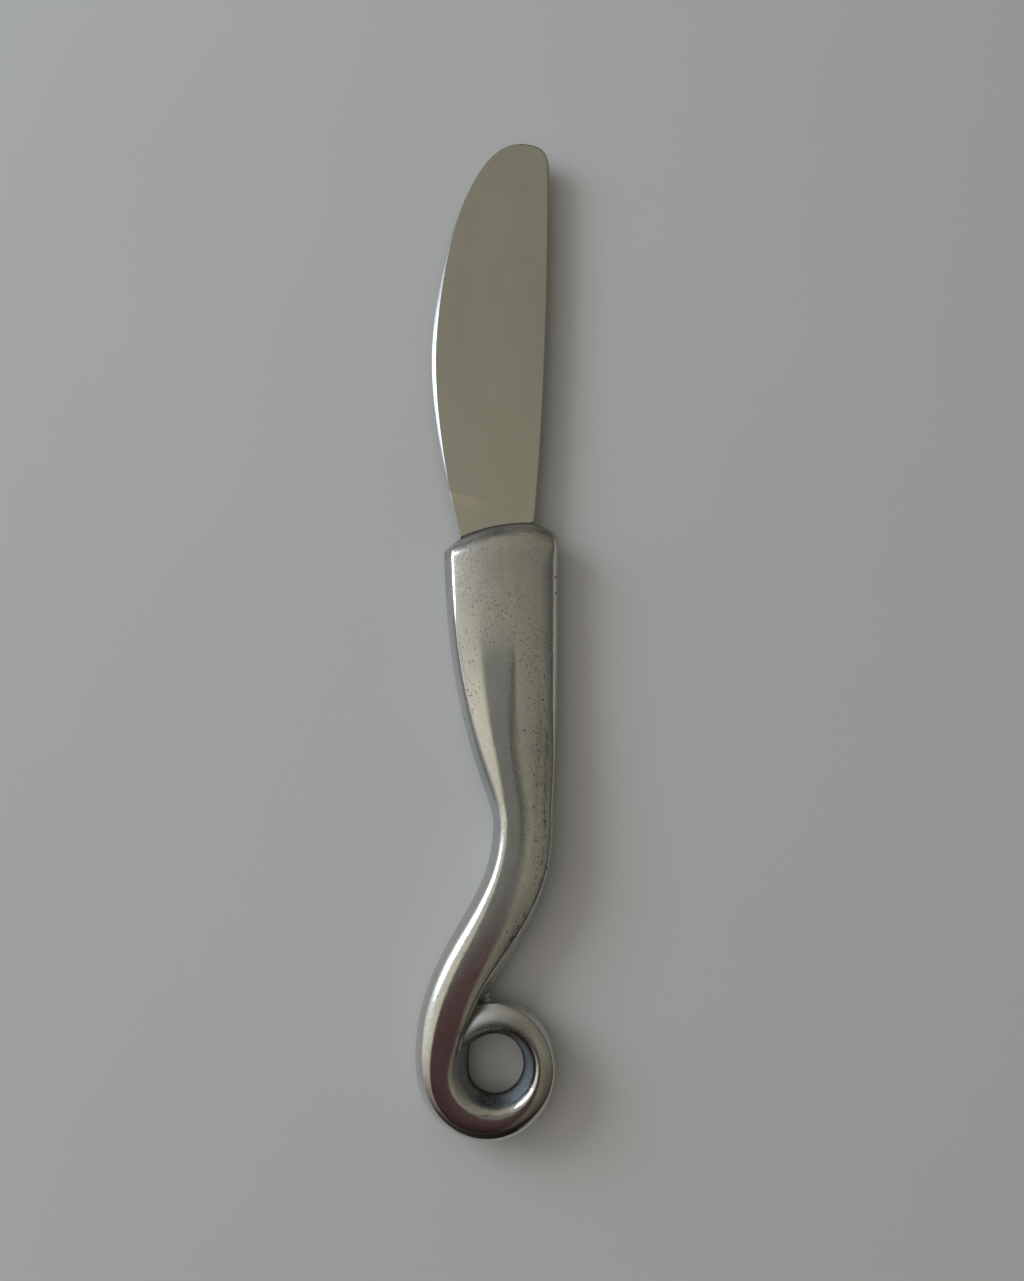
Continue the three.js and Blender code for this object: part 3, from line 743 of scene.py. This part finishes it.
def blade_outline():
    """The blade's outline from its edge's root round the tip, and how far each point's edge is ground."""
    root_left = shoulder_line(-EDGE_ROOT_OUT)
    root_right = shoulder_line(SPINE_ROOT_OUT)
    corner_out = SPINE_ROOT_OUT - ROOT_CORNER
    round_from = BLADE_LENGTH - TIP_ROUND
    edge_root = (-EDGE_ROOT_OUT, root_left)
    belly = (-BELLY_OUT, BELLY_ALONG)
    crest = (TIP_CREST_OUT, BLADE_LENGTH)
    spine_tip = (SPINE_TIP_OUT, round_from)
    spine_root = (SPINE_ROOT_OUT, root_right + ROOT_CORNER)
    edge = [
        edge_root,
        (mix(-EDGE_ROOT_OUT, -BELLY_OUT, EDGE_CURVE["root_out"]),
         mix(root_left, BELLY_ALONG, EDGE_CURVE["root_along"])),
        (-BELLY_OUT, mix(root_left, BELLY_ALONG, EDGE_CURVE["belly_along"])),
        belly,
    ]
    tip = [
        belly,
        (-BELLY_OUT, mix(BELLY_ALONG, BLADE_LENGTH, TIP_CURVE["belly_along"])),
        (mix(-BELLY_OUT, TIP_CREST_OUT, TIP_CURVE["crest_out"]), BLADE_LENGTH),
        crest,
    ]
    tip_round = [
        crest,
        (mix(TIP_CREST_OUT, SPINE_TIP_OUT, ROUND_CURVE["crest_out"]), BLADE_LENGTH),
        (SPINE_TIP_OUT, mix(BLADE_LENGTH, round_from, ROUND_CURVE["spine_along"])),
        spine_tip,
    ]
    spine = [
        spine_tip,
        (mix(SPINE_TIP_OUT, SPINE_ROOT_OUT, SPINE_CURVE["tip_out"]),
         mix(round_from, root_right, SPINE_CURVE["tip_along"])),
        (mix(SPINE_TIP_OUT, SPINE_ROOT_OUT, SPINE_CURVE["root_out"]),
         mix(round_from, root_right, SPINE_CURVE["root_along"])),
        spine_root,
    ]
    root_corner = [spine_root, (SPINE_ROOT_OUT, root_right), (corner_out, shoulder_line(corner_out))]
    runs = (
        (edge, EDGE_STEPS),
        (tip, TIP_STEPS),
        (tip_round, ROUND_STEPS),
        (spine, SPINE_STEPS),
        (root_corner, ROOT_CORNER_STEPS),
    )
    points = [np.array([edge_root])]
    for run, steps in runs:
        points.append(bezier(run, shares(steps))[1:])
    xs = np.linspace(corner_out, -EDGE_ROOT_OUT, SHOULDER_STEPS + 1)[1:-1]
    points.append(np.column_stack([xs, shoulder_line(xs)]))
    points = np.concatenate(points)
    along = np.clip((points[:, 1] - BEVEL_FROM) / (BEVEL_TO - BEVEL_FROM), 0, 1)
    ground = np.sin(math.pi * along)
    ground[EDGE_STEPS + TIP_STEPS + 1:] = 0
    return points, ground


def make_plate():
    """The blade without its tang: a flat plate with a bevelled edge and eased sides."""
    outline, ground = blade_outline()
    count = len(outline)
    half = BLADE_THICKNESS / 2
    along = np.roll(outline, -1, axis=0) - np.roll(outline, 1, axis=0)
    along /= np.linalg.norm(along, axis=1)[:, None]
    inward = np.column_stack([along[:, 1], -along[:, 0]])
    ease = np.where(np.arange(count) < EDGE_STEPS + TIP_STEPS, EDGE_BREAK, EDGE_EASE)
    width = mix(ease, BEVEL_WIDTH, ground)
    rim = mix(half - EDGE_BREAK, EDGE_LAND / 2, ground)
    rings = []
    for across, drop in BEVEL_PROFILE:
        ring = outline + inward * (width * across)[:, None]
        rings.append(np.column_stack([ring, half - (half - rim) * drop]))
    rings += [ring * (1, 1, -1) for ring in rings[::-1]]
    faces = ring_sides(len(rings), count) + ring_caps(len(rings), count)
    return new_object("steel_blade", np.concatenate(rings), faces)


def make_tang():
    tang = prism("tang", tang_outline(0), TANG_THICKNESS)
    angle = 2 * math.pi * shares(KEY_HOLE_STEPS)[:-1]
    circle = np.column_stack([np.cos(angle), np.sin(angle)]) * KEY_HOLE_DIAMETER / 2
    for depth in KEY_HOLE_DEPTHS:
        combine(tang, "DIFFERENCE", prism("key", circle + (0, -depth), 2 * TANG_THICKNESS))
    return tang


def make_blade():
    blade = make_plate()
    combine(blade, "UNION", make_tang())
    smooth_by_angle(blade, BLADE_SHARP_ANGLE)
    for face in blade.data.polygons:
        face.use_smooth = abs(face.normal.z) <= FLAT_NORMAL
    mark_blade(blade)
    return blade


def mark(obj, name, values):
    """Gives each vertex a value or a vector for the material to read."""
    kind, field = ("FLOAT_VECTOR", "vector") if values.ndim == 2 else ("FLOAT", "value")
    attribute = obj.data.attributes.new(name, kind, "POINT")
    attribute.data.foreach_set(field, values.astype(np.float32).ravel())


def points_of(obj):
    points = np.empty(len(obj.data.vertices) * 3)
    obj.data.vertices.foreach_get("co", points)
    return points.reshape(-1, 3) / MM - SHIFT


def mark_blade(blade):
    """Where the blade's edge is ground: between its two flats, on its left side."""
    where = points_of(blade)
    up = np.abs(where[:, 2])
    beside = falling(where[:, 0], *GROUND_ACROSS) * (up < BLADE_THICKNESS / 2 - FLAT_MARGIN)
    rise = np.clip((up - GROUND_FROM) / GROUND_RISE, 0, 1)
    mark(blade, "ground", beside * (1 - GROUND_FADE * rise))


def mark_handle(handle, ring_points, ring_flow):
    """Each vertex learns its place on the bar from the nearest ring point, and where wear, dirt, painted
    shade and painted reflections lie.
    """
    tree = KDTree(len(ring_points))
    for i, point in enumerate(ring_points):
        tree.insert(point, i)
    tree.balance()
    where = points_of(handle)
    flow = np.array([ring_flow[tree.find(point)[1]] for point in where])
    mark(handle, "flow", flow)
    across, along = flow[:, 0], flow[:, 1]
    mark_pits(handle, where)
    mark_wear_and_wall_reflection(handle, across, along)
    mark_hole(handle, where)
    mark_dirt_and_shade(handle, where, across, along)


def mark_pits(handle, where):
    pitted = np.zeros(len(where))
    for x, y, across, along in PIT_GROUPS:
        away = ((where[:, 0] - x) / across) ** 2 + ((where[:, 1] - y) / along) ** 2
        pitted = np.maximum(pitted, np.exp(-away))
    mark(handle, "pitted", np.minimum(1, PIT_STRENGTH * pitted))


def mark_wear_and_wall_reflection(handle, across, along):
    """Dark streaks along the right side, dull metal on the stem and the tail, and the grip's left wall,
    which takes a blue tint as a painted reflection.
    """
    from_right = half_of(along) - across
    from_left = half_of(along) + across
    streak = sum(strength * hump(from_right, inset, reach) for inset, reach, strength in STREAKS)
    streak = streak * band(along, *STREAKS_ALONG)
    smudge = hump(from_right, *SMUDGE_ACROSS) * hump(along, *SMUDGE_ALONG)
    mark(handle, "scored", np.maximum(streak, smudge))
    stem_edge = falling(from_left, *STEM_EDGE) * band(along, *STEM_EDGE_ALONG)
    mark(handle, "dull", np.maximum(STEM_EDGE_DULL * stem_edge, smoothstep(along, *TAIL_DULL)))
    # The grip's left wall, which the material tints blue as a painted reflection
    mark(handle, "wall", falling(from_left, *WALL_ACROSS) * falling(along, *WALL_END))


def mark_hole(handle, where):
    """The rough skin in the loop's hole, and the wall of it that faces the window, where a blue tint is
    painted reflection. Also soot with painted shade over it, darkest at mid-thickness as a painted shadow.
    """
    dx = where[:, 0] - LOOP_OUT
    dy = where[:, 1] + LOOP_ALONG
    away = np.hypot(dx, dy)
    lit = smoothstep((HOLE_LIT_WAY[0] * dx + HOLE_LIT_WAY[1] * dy) / away, *HOLE_LIT)
    top = smoothstep(dy / away, *HOLE_TOP)
    left = smoothstep(-dx / away, *HOLE_LEFT)
    reach = LOOP_HOLE_DIAMETER / 2 + mix(*HOLE_REACH, lit)
    skin_end = reach - HOLE_TOP_LESS * top
    bore = falling(away, skin_end - HOLE_BLUR, skin_end + HOLE_BLUR)
    mark(handle, "bore", bore)
    # Where the hole's rough skin faces the window; the material tints it blue there as a painted reflection
    mark(handle, "lit", bore * lit)
    # Soot and painted shade on the hole's walls, thicker at the top
    soot_and_shade_from = reach - HOLE_BLUR + SOOT_AND_SHADE_TOP_MORE[0] * top
    soot_and_shade_to = reach + HOLE_BLUR + SOOT_AND_SHADE_TOP_MORE[1] * top
    thin = mix(*SOOT_AND_SHADE_SIDES, lit) * mix(1, SOOT_AND_SHADE_TOP, top) * mix(1, SOOT_AND_SHADE_LEFT, left)
    # Painted shadow in the hole, darkest at mid-thickness
    painted_shadow = SHADOW_WAIST * falling(np.abs(where[:, 2]), *SHADOW_WAIST_UP)
    mark(handle, "soot_and_shade", falling(away, soot_and_shade_from, soot_and_shade_to) * np.maximum(thin, painted_shadow))


def mark_dirt_and_shade(handle, where, across, along):
    """Brushed metal at the blade end, and dark marks: painted shade in the gap at the blade end, on its
    right corner, in the crease and on the left edge, where it lies over a worn line. Also the rim, which is
    scuffs with painted shade.
    """
    x = where[:, 0]
    front = nose_line(x) - where[:, 1]
    mark(handle, "brushed", falling(front, *BRUSHED_BACK))
    # Painted shade: a dark line in the gap between the grip's blade end and the blade
    joint_shade = falling(front, JOINT_FROM, mix(*JOINT_TO, smoothstep(x, *JOINT_NARROWS)))
    joint_shade *= smoothstep(x, *JOINT_START) * (1 - JOINT_END_FADE * smoothstep(x, *JOINT_END))
    # Painted shade: the blade end's right corner darkened for the shaded floor it mirrors
    corner = CORNER_SHADE * smoothstep(x, *CORNER_ACROSS) * falling(front, *CORNER_BACK)
    start, end = np.array(CREASE)
    course = end - start
    share = np.clip((where[:, :2] - start) @ course / (course @ course), 0, 1)
    away = np.linalg.norm(where[:, :2] - start - share[:, None] * course, axis=1)
    # Painted shade in the crease beside the loop's end
    crease_shade = hump(away, 0, CREASE_REACH)
    # A worn dark line with painted shade over it, dimming the window's highlight on the grip's left
    # shoulder
    worn_edge_and_shade = hump(half_of(along) + across, *WORN_EDGE_AND_SHADE) * band(along, *WORN_EDGE_AND_SHADE_ALONG)
    mark(handle, "grime_and_shade", np.maximum.reduce([crease_shade, joint_shade, worn_edge_and_shade, corner]))
    # The right shoulder's rim: scuffs, with painted shade for the dark room that the shoulder mirrors
    mark(handle, "rim", hump(across, shoulder_of(along), RIM_REACH) * band(along, *RIM_ALONG))


class Nodes:
    """Short ways to add shader nodes. An input is a value or another node's socket."""

    def __init__(self, tree):
        self.tree = tree
        tree.nodes.clear()

    def put(self, socket, value):
        if isinstance(value, bpy.types.NodeSocket):
            self.tree.links.new(value, socket)
        elif socket.type == "RGBA":
            socket.default_value = (*value, 1)
        else:
            socket.default_value = value

    def add(self, kind, inputs=(), **settings):
        node = self.tree.nodes.new("ShaderNode" + kind)
        for name, value in settings.items():
            setattr(node, name, value)
        for name, value in dict(inputs).items():
            self.put(node.inputs[name], value)
        return node

    def attribute(self, name, output="Fac"):
        return self.add("Attribute", attribute_name=name).outputs[output]

    def place(self):
        return self.add("TexCoord").outputs["Object"]

    def parts(self, vector):
        return self.add("SeparateXYZ", {0: vector}).outputs

    def math(self, operation, *values):
        return self.add("Math", dict(enumerate(values)), operation=operation).outputs[0]

    def times(self, a, b):
        return self.math("MULTIPLY", a, b)

    def plus(self, a, b):
        return self.math("ADD", a, b)

    def largest(self, first, *others):
        for other in others:
            first = self.math("MAXIMUM", first, other)
        return first

    def scaled(self, vector, x, y, z):
        return self.add("VectorMath", {0: vector, 1: (x, y, z)}, operation="MULTIPLY").outputs[0]

    def noise(self, vector, scale, detail=4.0, roughness=0.55):
        inputs = {"Vector": vector, "Scale": scale, "Detail": detail, "Roughness": roughness}
        return self.add("TexNoise", inputs).outputs["Fac"]

    def drawn_noise(self, vector, drawn, *noise):
        """Noise that is drawn out along the bar."""
        return self.noise(self.scaled(vector, 1, drawn, 1), *noise)

    def noise_colour(self, vector, scale):
        inputs = {"Vector": vector, "Scale": scale, "Detail": 2.0}
        return self.add("TexNoise", inputs).outputs["Color"]

    def remap(self, value, low, high, to_low=0.0, to_high=1.0):
        inputs = {"Value": value, "From Min": low, "From Max": high, "To Min": to_low, "To Max": to_high}
        return self.add("MapRange", inputs, interpolation_type="SMOOTHSTEP").outputs[0]

    def remap_straight(self, value, low, high):
        inputs = {"Value": value, "From Min": low, "From Max": high}
        return self.add("MapRange", inputs).outputs[0]

    def blend(self, share, a, b, way="MIX"):
        node = self.add("Mix", data_type="RGBA", blend_type=way)
        self.put(node.inputs[0], share)
        self.put(node.inputs[6], a)
        self.put(node.inputs[7], b)
        return node.outputs[2]

    def ramp(self, share, stops):
        node = self.add("ValToRGB", {0: share})
        elements = node.color_ramp.elements
        elements[0].position, elements[1].position = stops[0][0], stops[-1][0]
        for position, _ in stops[1:-1]:
            elements.new(position)
        for element, (_, colour) in zip(elements, stops):
            element.color = (*colour, 1)
        return node.outputs[0]

    def bumps(self, layers):
        """A normal from heights that lie over one another, each with its depth in metres."""
        normal = None
        for height, depth in layers:
            inputs = {"Height": height, "Distance": depth, "Strength": 1.0}
            if normal is not None:
                inputs["Normal"] = normal
            normal = self.add("Bump", inputs).outputs[0]
        return normal

    def surface(self, inputs):
        shader = self.add("BsdfPrincipled", inputs)
        self.add("OutputMaterial", {"Surface": shader.outputs[0]})


def new_material(name):
    material = bpy.data.materials.new(name)
    material.use_nodes = True
    return material, Nodes(material.node_tree)


def set_material(obj, material):
    obj.data.materials.clear()
    obj.data.materials.append(material)


def pits(n, flow, cell, least, span, share):
    """Irregular specks, one to a cell at most. share is how many of the cells have one."""
    noise = n.noise_colour(flow, PIT_BEND_SCALE / cell)
    bend = n.scaled(noise, PIT_BEND[0] * cell, PIT_BEND[1] * cell, 0)
    bent = n.add("VectorMath", {0: flow, 1: bend}).outputs[0]
    cells = n.scaled(bent, 1 / cell, PIT_DRAWN / cell, 1 / cell)
    spots = n.add("TexVoronoi", {"Vector": cells, "Scale": 1.0})
    chance = n.add("SeparateColor", {0: spots.outputs["Color"]})
    kept = n.math("LESS_THAN", chance.outputs[0], share)
    radius = n.math("MULTIPLY_ADD", n.math("POWER", chance.outputs[1], 2.0), span / cell, least / cell)
    depth = n.math("DIVIDE", spots.outputs["Distance"], radius)
    return n.times(n.remap(depth, *PIT_RIM, 1, 0), kept)


def wall_dots(n, flow):
    flat = n.scaled(flow, 1, 1, WALL_DOTS_TALL)
    dots = []
    for along in WALL_DOTS_ALONG:
        centre = (WALL_DOTS_ACROSS, along, WALL_DOTS_UP)
        away = n.add("VectorMath", {0: flat, 1: centre}, operation="DISTANCE").outputs["Value"]
        dots.append(n.remap(away, *WALL_DOTS_RADIUS))
    return n.largest(*dots)


def casting_pits(n, flow, cloud):
    """Fine and coarse pits in groups, stray pits everywhere, scored dashes and the wall's dots."""
    pitted = n.attribute("pitted")
    dashes = n.scaled(flow, 1, 0.35, 1)
    return n.largest(
        pits(n, flow, cell=0.37, least=0.055, span=0.095, share=n.times(pitted, 0.85)),
        pits(n, flow, cell=1.2, least=0.095, span=0.12, share=n.times(pitted, 0.8)),
        pits(n, flow, cell=0.7, least=0.06, span=0.085, share=n.remap(cloud, 0.4, 0.66, 0.1, 0.5)),
        pits(n, dashes, cell=0.5, least=0.08, span=0.12, share=n.times(n.attribute("scored"), 0.8)),
        wall_dots(n, flow),
    )


def casting_metal(n, flow, along, upper, streak, mottle, cloud):
    """The bare metal's colour: a mottled grey with layers over it, each with its share. Two of the layers
    are painted reflections: blue on the grip's left wall and on the hole's lit wall.
    """
    patches = n.drawn_noise(flow, 0.7, 0.24, 5, 0.72)
    freckles = n.drawn_noise(flow, 0.8, 2.1, 4, 0.75)
    freckled = n.largest(n.times(n.attribute("pitted"), 0.32), n.times(upper, 0.2))
    lines = n.noise(n.scaled(n.place(), 250, 0, 2600), 1.0, 4, 0.65)
    layers = (
        (n.remap(streak, 0.38, 0.7, 0, 0.4), DRAWN_GREY),
        (n.remap(cloud, 0.42, 0.66, 0, 0.3), WARM_GREY),
        (n.remap(patches, 0.44, 0.62, 0, 0.38), PATCH_GREY),
        (n.remap(along, 128, 140, 0, 0.45), TAIL_GREY),
        # Painted reflection: the grip's left wall tinted blue
        (n.times(n.attribute("wall"), 0.5), WALL_REFLECTION_BLUE),
        (n.times(n.remap(along, 8, 22), n.remap(along, 46, 34, 0, 0.4)), GRIP_BRIGHT),
        (n.times(n.remap(freckles, 0.5, 0.64), freckled), FRECKLE_BROWN),
        # Painted reflection: the hole's lit wall tinted blue
        (n.times(n.attribute("lit"), 0.6), HOLE_REFLECTION_BLUE),
        (n.times(n.attribute("brushed"), n.remap(lines, 0.36, 0.62, 0, 0.8)), BRUSHED_GREY),
    )
    metal = n.blend(n.remap(mottle, 0.34, 0.68), *ALUMINIUM)
    for share, colour in layers:
        metal = n.blend(share, metal, colour)
    return metal


def aluminium():
    material, n = new_material("cast_aluminium")
    flow = n.attribute("flow", "Vector")
    bore = n.attribute("bore")
    along = n.parts(flow)[1]
    upper = n.remap(along, 34, 8)
    streak = n.drawn_noise(flow, 0.05, 4.5, 6, 0.62)
    mottle = n.drawn_noise(flow, 0.6, 2.4, 5, 0.7)
    cloud = n.noise(flow, 0.3, 4, 0.6)
    blotch = n.noise(n.scaled(flow, 1.6, 0.4, 1), 1.6, 5, 0.7)
    scuffs_and_shade = n.drawn_noise(flow, 0.35, 1.6, 5, 0.7)
    lumps = n.noise(flow, 0.7, 4, 0.6)
    grit = n.noise(flow, 2.6, 4, 0.65)
    waves = n.drawn_noise(flow, 0.3, 0.7, 3)
    pit = casting_pits(n, flow, cloud)
    smudge = n.times(n.attribute("scored"), n.remap(blotch, 0.4, 0.62, 0.1, 0.75))
    # Scuffs on the right shoulder's rim, partly painted shade
    worn = n.times(n.attribute("rim"), n.remap(scuffs_and_shade, 0.4, 0.62))
    # Dark grey over painted shade at the blade end, the crease and the left edge, over the rim's scuffs and
    # over smudges
    dark = n.largest(n.times(n.attribute("grime_and_shade"), 0.72), n.times(worn, 0.5), smudge)
    # Soot and painted shade in the hole, nearly black
    sooty_and_shaded = n.times(n.attribute("soot_and_shade"), n.remap(grit, 0.38, 0.62, 1.05, 0.74))
    colour = casting_metal(n, flow, along, upper, streak, mottle, cloud)
    colour = n.blend(dark, colour, OXIDE_AND_SHADE_DARK)
    colour = n.blend(sooty_and_shaded, colour, SOOT_AND_SHADE_BLACK)
    colour = n.blend(n.times(pit, 0.8), colour, PIT_DARK)
    frosted = n.largest(n.times(upper, 0.13), n.times(n.attribute("dull"), 0.24))
    coarse = n.largest(pit, dark, n.times(bore, 1.75))
    rough = n.plus(n.remap(mottle, 0.3, 0.7, 0.065, 0.12), frosted)
    rough = n.plus(rough, n.times(coarse, 0.28))
    normal = n.bumps((
        (waves, 0.000008),
        (streak, 0.0000025),
        (mottle, 0.000006),
        (n.times(pit, -1.0), 0.000006),
        (n.times(lumps, bore), 0.00012),
    ))
    n.surface({"Base Color": colour, "Metallic": 1.0, "Roughness": rough, "Normal": normal})
    return material


def steel():
    material, n = new_material("polished_steel")
    flow = n.scaled(n.place(), 1 / MM, 1 / MM, 1 / MM)
    x, y, _ = n.parts(flow)
    ground = n.attribute("ground")
    wipe = n.noise(n.scaled(flow, 0.9, 0.07, 0.9), 1.0, 5, 0.6)
    smear = n.noise(n.scaled(flow, 0.12, 0.05, 0.1), 1.0, 4)
    lines = n.noise(n.scaled(flow, 0.4, 7, 1), 1.0, 3)
    below = n.math("MULTIPLY_ADD", x, -WIPE_SLOPE, WIPE_SLOPE * WIPE_START[0] - WIPE_START[1])
    below = n.plus(below, y)
    wiped = n.times(n.remap(below, 0.12, -0.12), n.remap(below, -3.5, -0.2, 0.35, 1))
    wiped = n.times(wiped, n.remap(x, WIPE_END, WIPE_START[0] + 2))
    # Painted highlight: the ground edge's colour rises and falls along the blade to shape the window's
    # highlight
    edge = n.ramp(n.remap_straight(y, *EDGE_HIGHLIGHT_SPAN), EDGE_HIGHLIGHT_TONES)
    colour = n.blend(n.remap(smear, 0.35, 0.65), *STEEL)
    colour = n.blend(n.remap(y, 70, 10, 0, 0.6), colour, STEEL_NEAR)
    colour = n.blend(ground, colour, edge)
    colour = n.blend(n.times(wiped, 0.62), colour, WIPED)
    scratched = n.times(ground, n.remap(lines, 0.3, 0.7, 0.34, 0.46))
    rough = n.plus(n.remap(wipe, 0.45, 0.75, 0.055, 0.1), scratched)
    normal = n.bumps(((smear, 0.00004), (n.times(lines, ground), 0.000006)))
    n.surface({"Base Color": colour, "Metallic": 1.0, "Roughness": rough, "Normal": normal})
    return material


def epoxy():
    material, n = new_material("bond_epoxy")
    grain = n.noise(n.place(), 2500, 5)
    n.surface({
        "Base Color": n.blend(grain, *EPOXY),
        "Roughness": n.remap(grain, 0.3, 0.7, 0.45, 0.7),
        "Normal": n.bumps([(grain, 0.00003)]),
    })
    return material


def new_sheet(name, corners, height):
    mesh = bpy.data.meshes.new(name)
    mesh.from_pydata([(x, y, height) for x, y in corners], [], [tuple(range(len(corners)))])
    return link(name, mesh)


def make_floor():
    floor = new_sheet("floor", FLOOR_CORNERS, 0)
    material, n = new_material("floor")
    colour = n.blend(n.noise(n.place(), 14, 3), *FLOOR)
    n.surface({"Base Color": colour, "Roughness": 0.95, "Specular IOR Level": 0.1})
    set_material(floor, material)


def make_card():
    """A dim card over the object, where the camera is, for the dark band that the crowned face reflects."""
    card = new_sheet("card", CARD_CORNERS, CARD_HEIGHT)
    card.visible_camera = False
    card.visible_diffuse = False
    card.visible_shadow = False
    material, n = new_material("card")
    x, y, _ = n.parts(n.place())
    tone = n.ramp(n.remap_straight(y, *CARD_SPAN), CARD_TONES)
    side = n.times(n.remap(x, 0.0175, 0.0215, 0, 0.9), n.remap(y, -0.075, -0.045))
    colour = n.blend(side, tone, CARD_SIDE)
    n.surface({"Base Color": colour, "Roughness": 1.0, "Specular IOR Level": 0.0})
    set_material(card, material)


def make_world():
    """The room that the metal mirrors: light on the left, dark on the right, low down and behind."""
    world = bpy.data.worlds.new("room")
    world.use_nodes = True
    bpy.context.scene.world = world
    n = Nodes(world.node_tree)
    x, y, z = n.parts(n.add("TexCoord").outputs["Generated"])
    across = n.remap_straight(x, -1, 1)
    low = n.times(n.remap(z, 0.45, 0.02), n.remap(x, -0.55, -0.1))
    corner = n.times(n.remap(x, 0.3, 0.55), n.remap(y, -0.2, -0.45))
    corner = n.times(corner, n.remap(z, 0.5, 0.3))
    low_far = n.times(n.remap(z, 0.42, 0.16), n.remap(y, 0.5, 0.72))
    back = n.ramp(n.remap_straight(y, *ROOM_BACK_SPAN), ROOM_BACK)
    light = n.blend(n.remap(y, 0.28, 0.0), n.ramp(across, ROOM_FAR), n.ramp(across, ROOM_NEAR))
    light = n.blend(1.0, light, back, "MULTIPLY")
    light = n.blend(n.times(low, 0.4), light, ROOM_LOW)
    light = n.blend(corner, light, ROOM_CORNER)
    light = n.blend(low_far, light, n.ramp(across, ROOM_HORIZON))
    sky = n.add("Background", {"Color": light, "Strength": 1.0})
    n.add("OutputWorld", {"Surface": sky.outputs[0]})


def new_lamp(name, size, radiance, colour, place):
    """A flat lamp that looks straight down until it is turned."""
    lamp = bpy.data.lights.new(name, "AREA")
    lamp.shape = "RECTANGLE"
    lamp.size, lamp.size_y = size
    lamp.energy = radiance * math.pi * lamp.size * lamp.size_y
    lamp.color = colour
    obj = link(name, lamp)
    obj.location = place
    return obj


def make_window():
    flat = math.cos(WINDOW_RISE)
    way = Vector((flat * math.cos(WINDOW_AZIMUTH), flat * math.sin(WINDOW_AZIMUTH), math.sin(WINDOW_RISE)))
    place = way * WINDOW_AWAY
    window = new_lamp("window", WINDOW_SIZE, WINDOW_RADIANCE, WINDOW_COLOUR, place)
    window.rotation_euler = place.to_track_quat("Z", "Y").to_euler()


def make_fill():
    """A broad warm lamp overhead that softens the shadows. Metal doesn't mirror it."""
    fill = new_lamp("fill", FILL_SIZE, FILL_RADIANCE, FILL_COLOUR, FILL_PLACE)
    fill.visible_glossy = False


def make_camera():
    data = bpy.data.cameras.new("photo_view")
    data.sensor_width = SENSOR_WIDTH
    data.lens = SENSOR_WIDTH * LENS_SHARE
    data.clip_start = CLIP_START
    camera = link("photo_view", data)
    turn = Matrix((VIEW_RIGHT, VIEW_UP, VIEW_BACK)).transposed().to_4x4()
    place = (np.array(VIEW_PLACE) + SHIFT) * MM
    camera.matrix_world = Matrix.Translation(place.tolist()) @ turn
    bpy.context.scene.camera = camera


def main():
    bpy.context.scene.view_settings.view_transform = "Standard"
    handle = make_handle()
    set_material(handle, aluminium())
    blade = make_blade()
    set_material(blade, steel())
    for piece, node, slot in ((handle, "handle", "handle_aluminium"), (blade, "blade", "blade_steel")):
        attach(piece, "root")
        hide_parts(node)
    set_material(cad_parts["tang_bond"], epoxy())
    make_floor()
    make_card()
    make_world()
    make_window()
    make_fill()
    make_camera()


main()
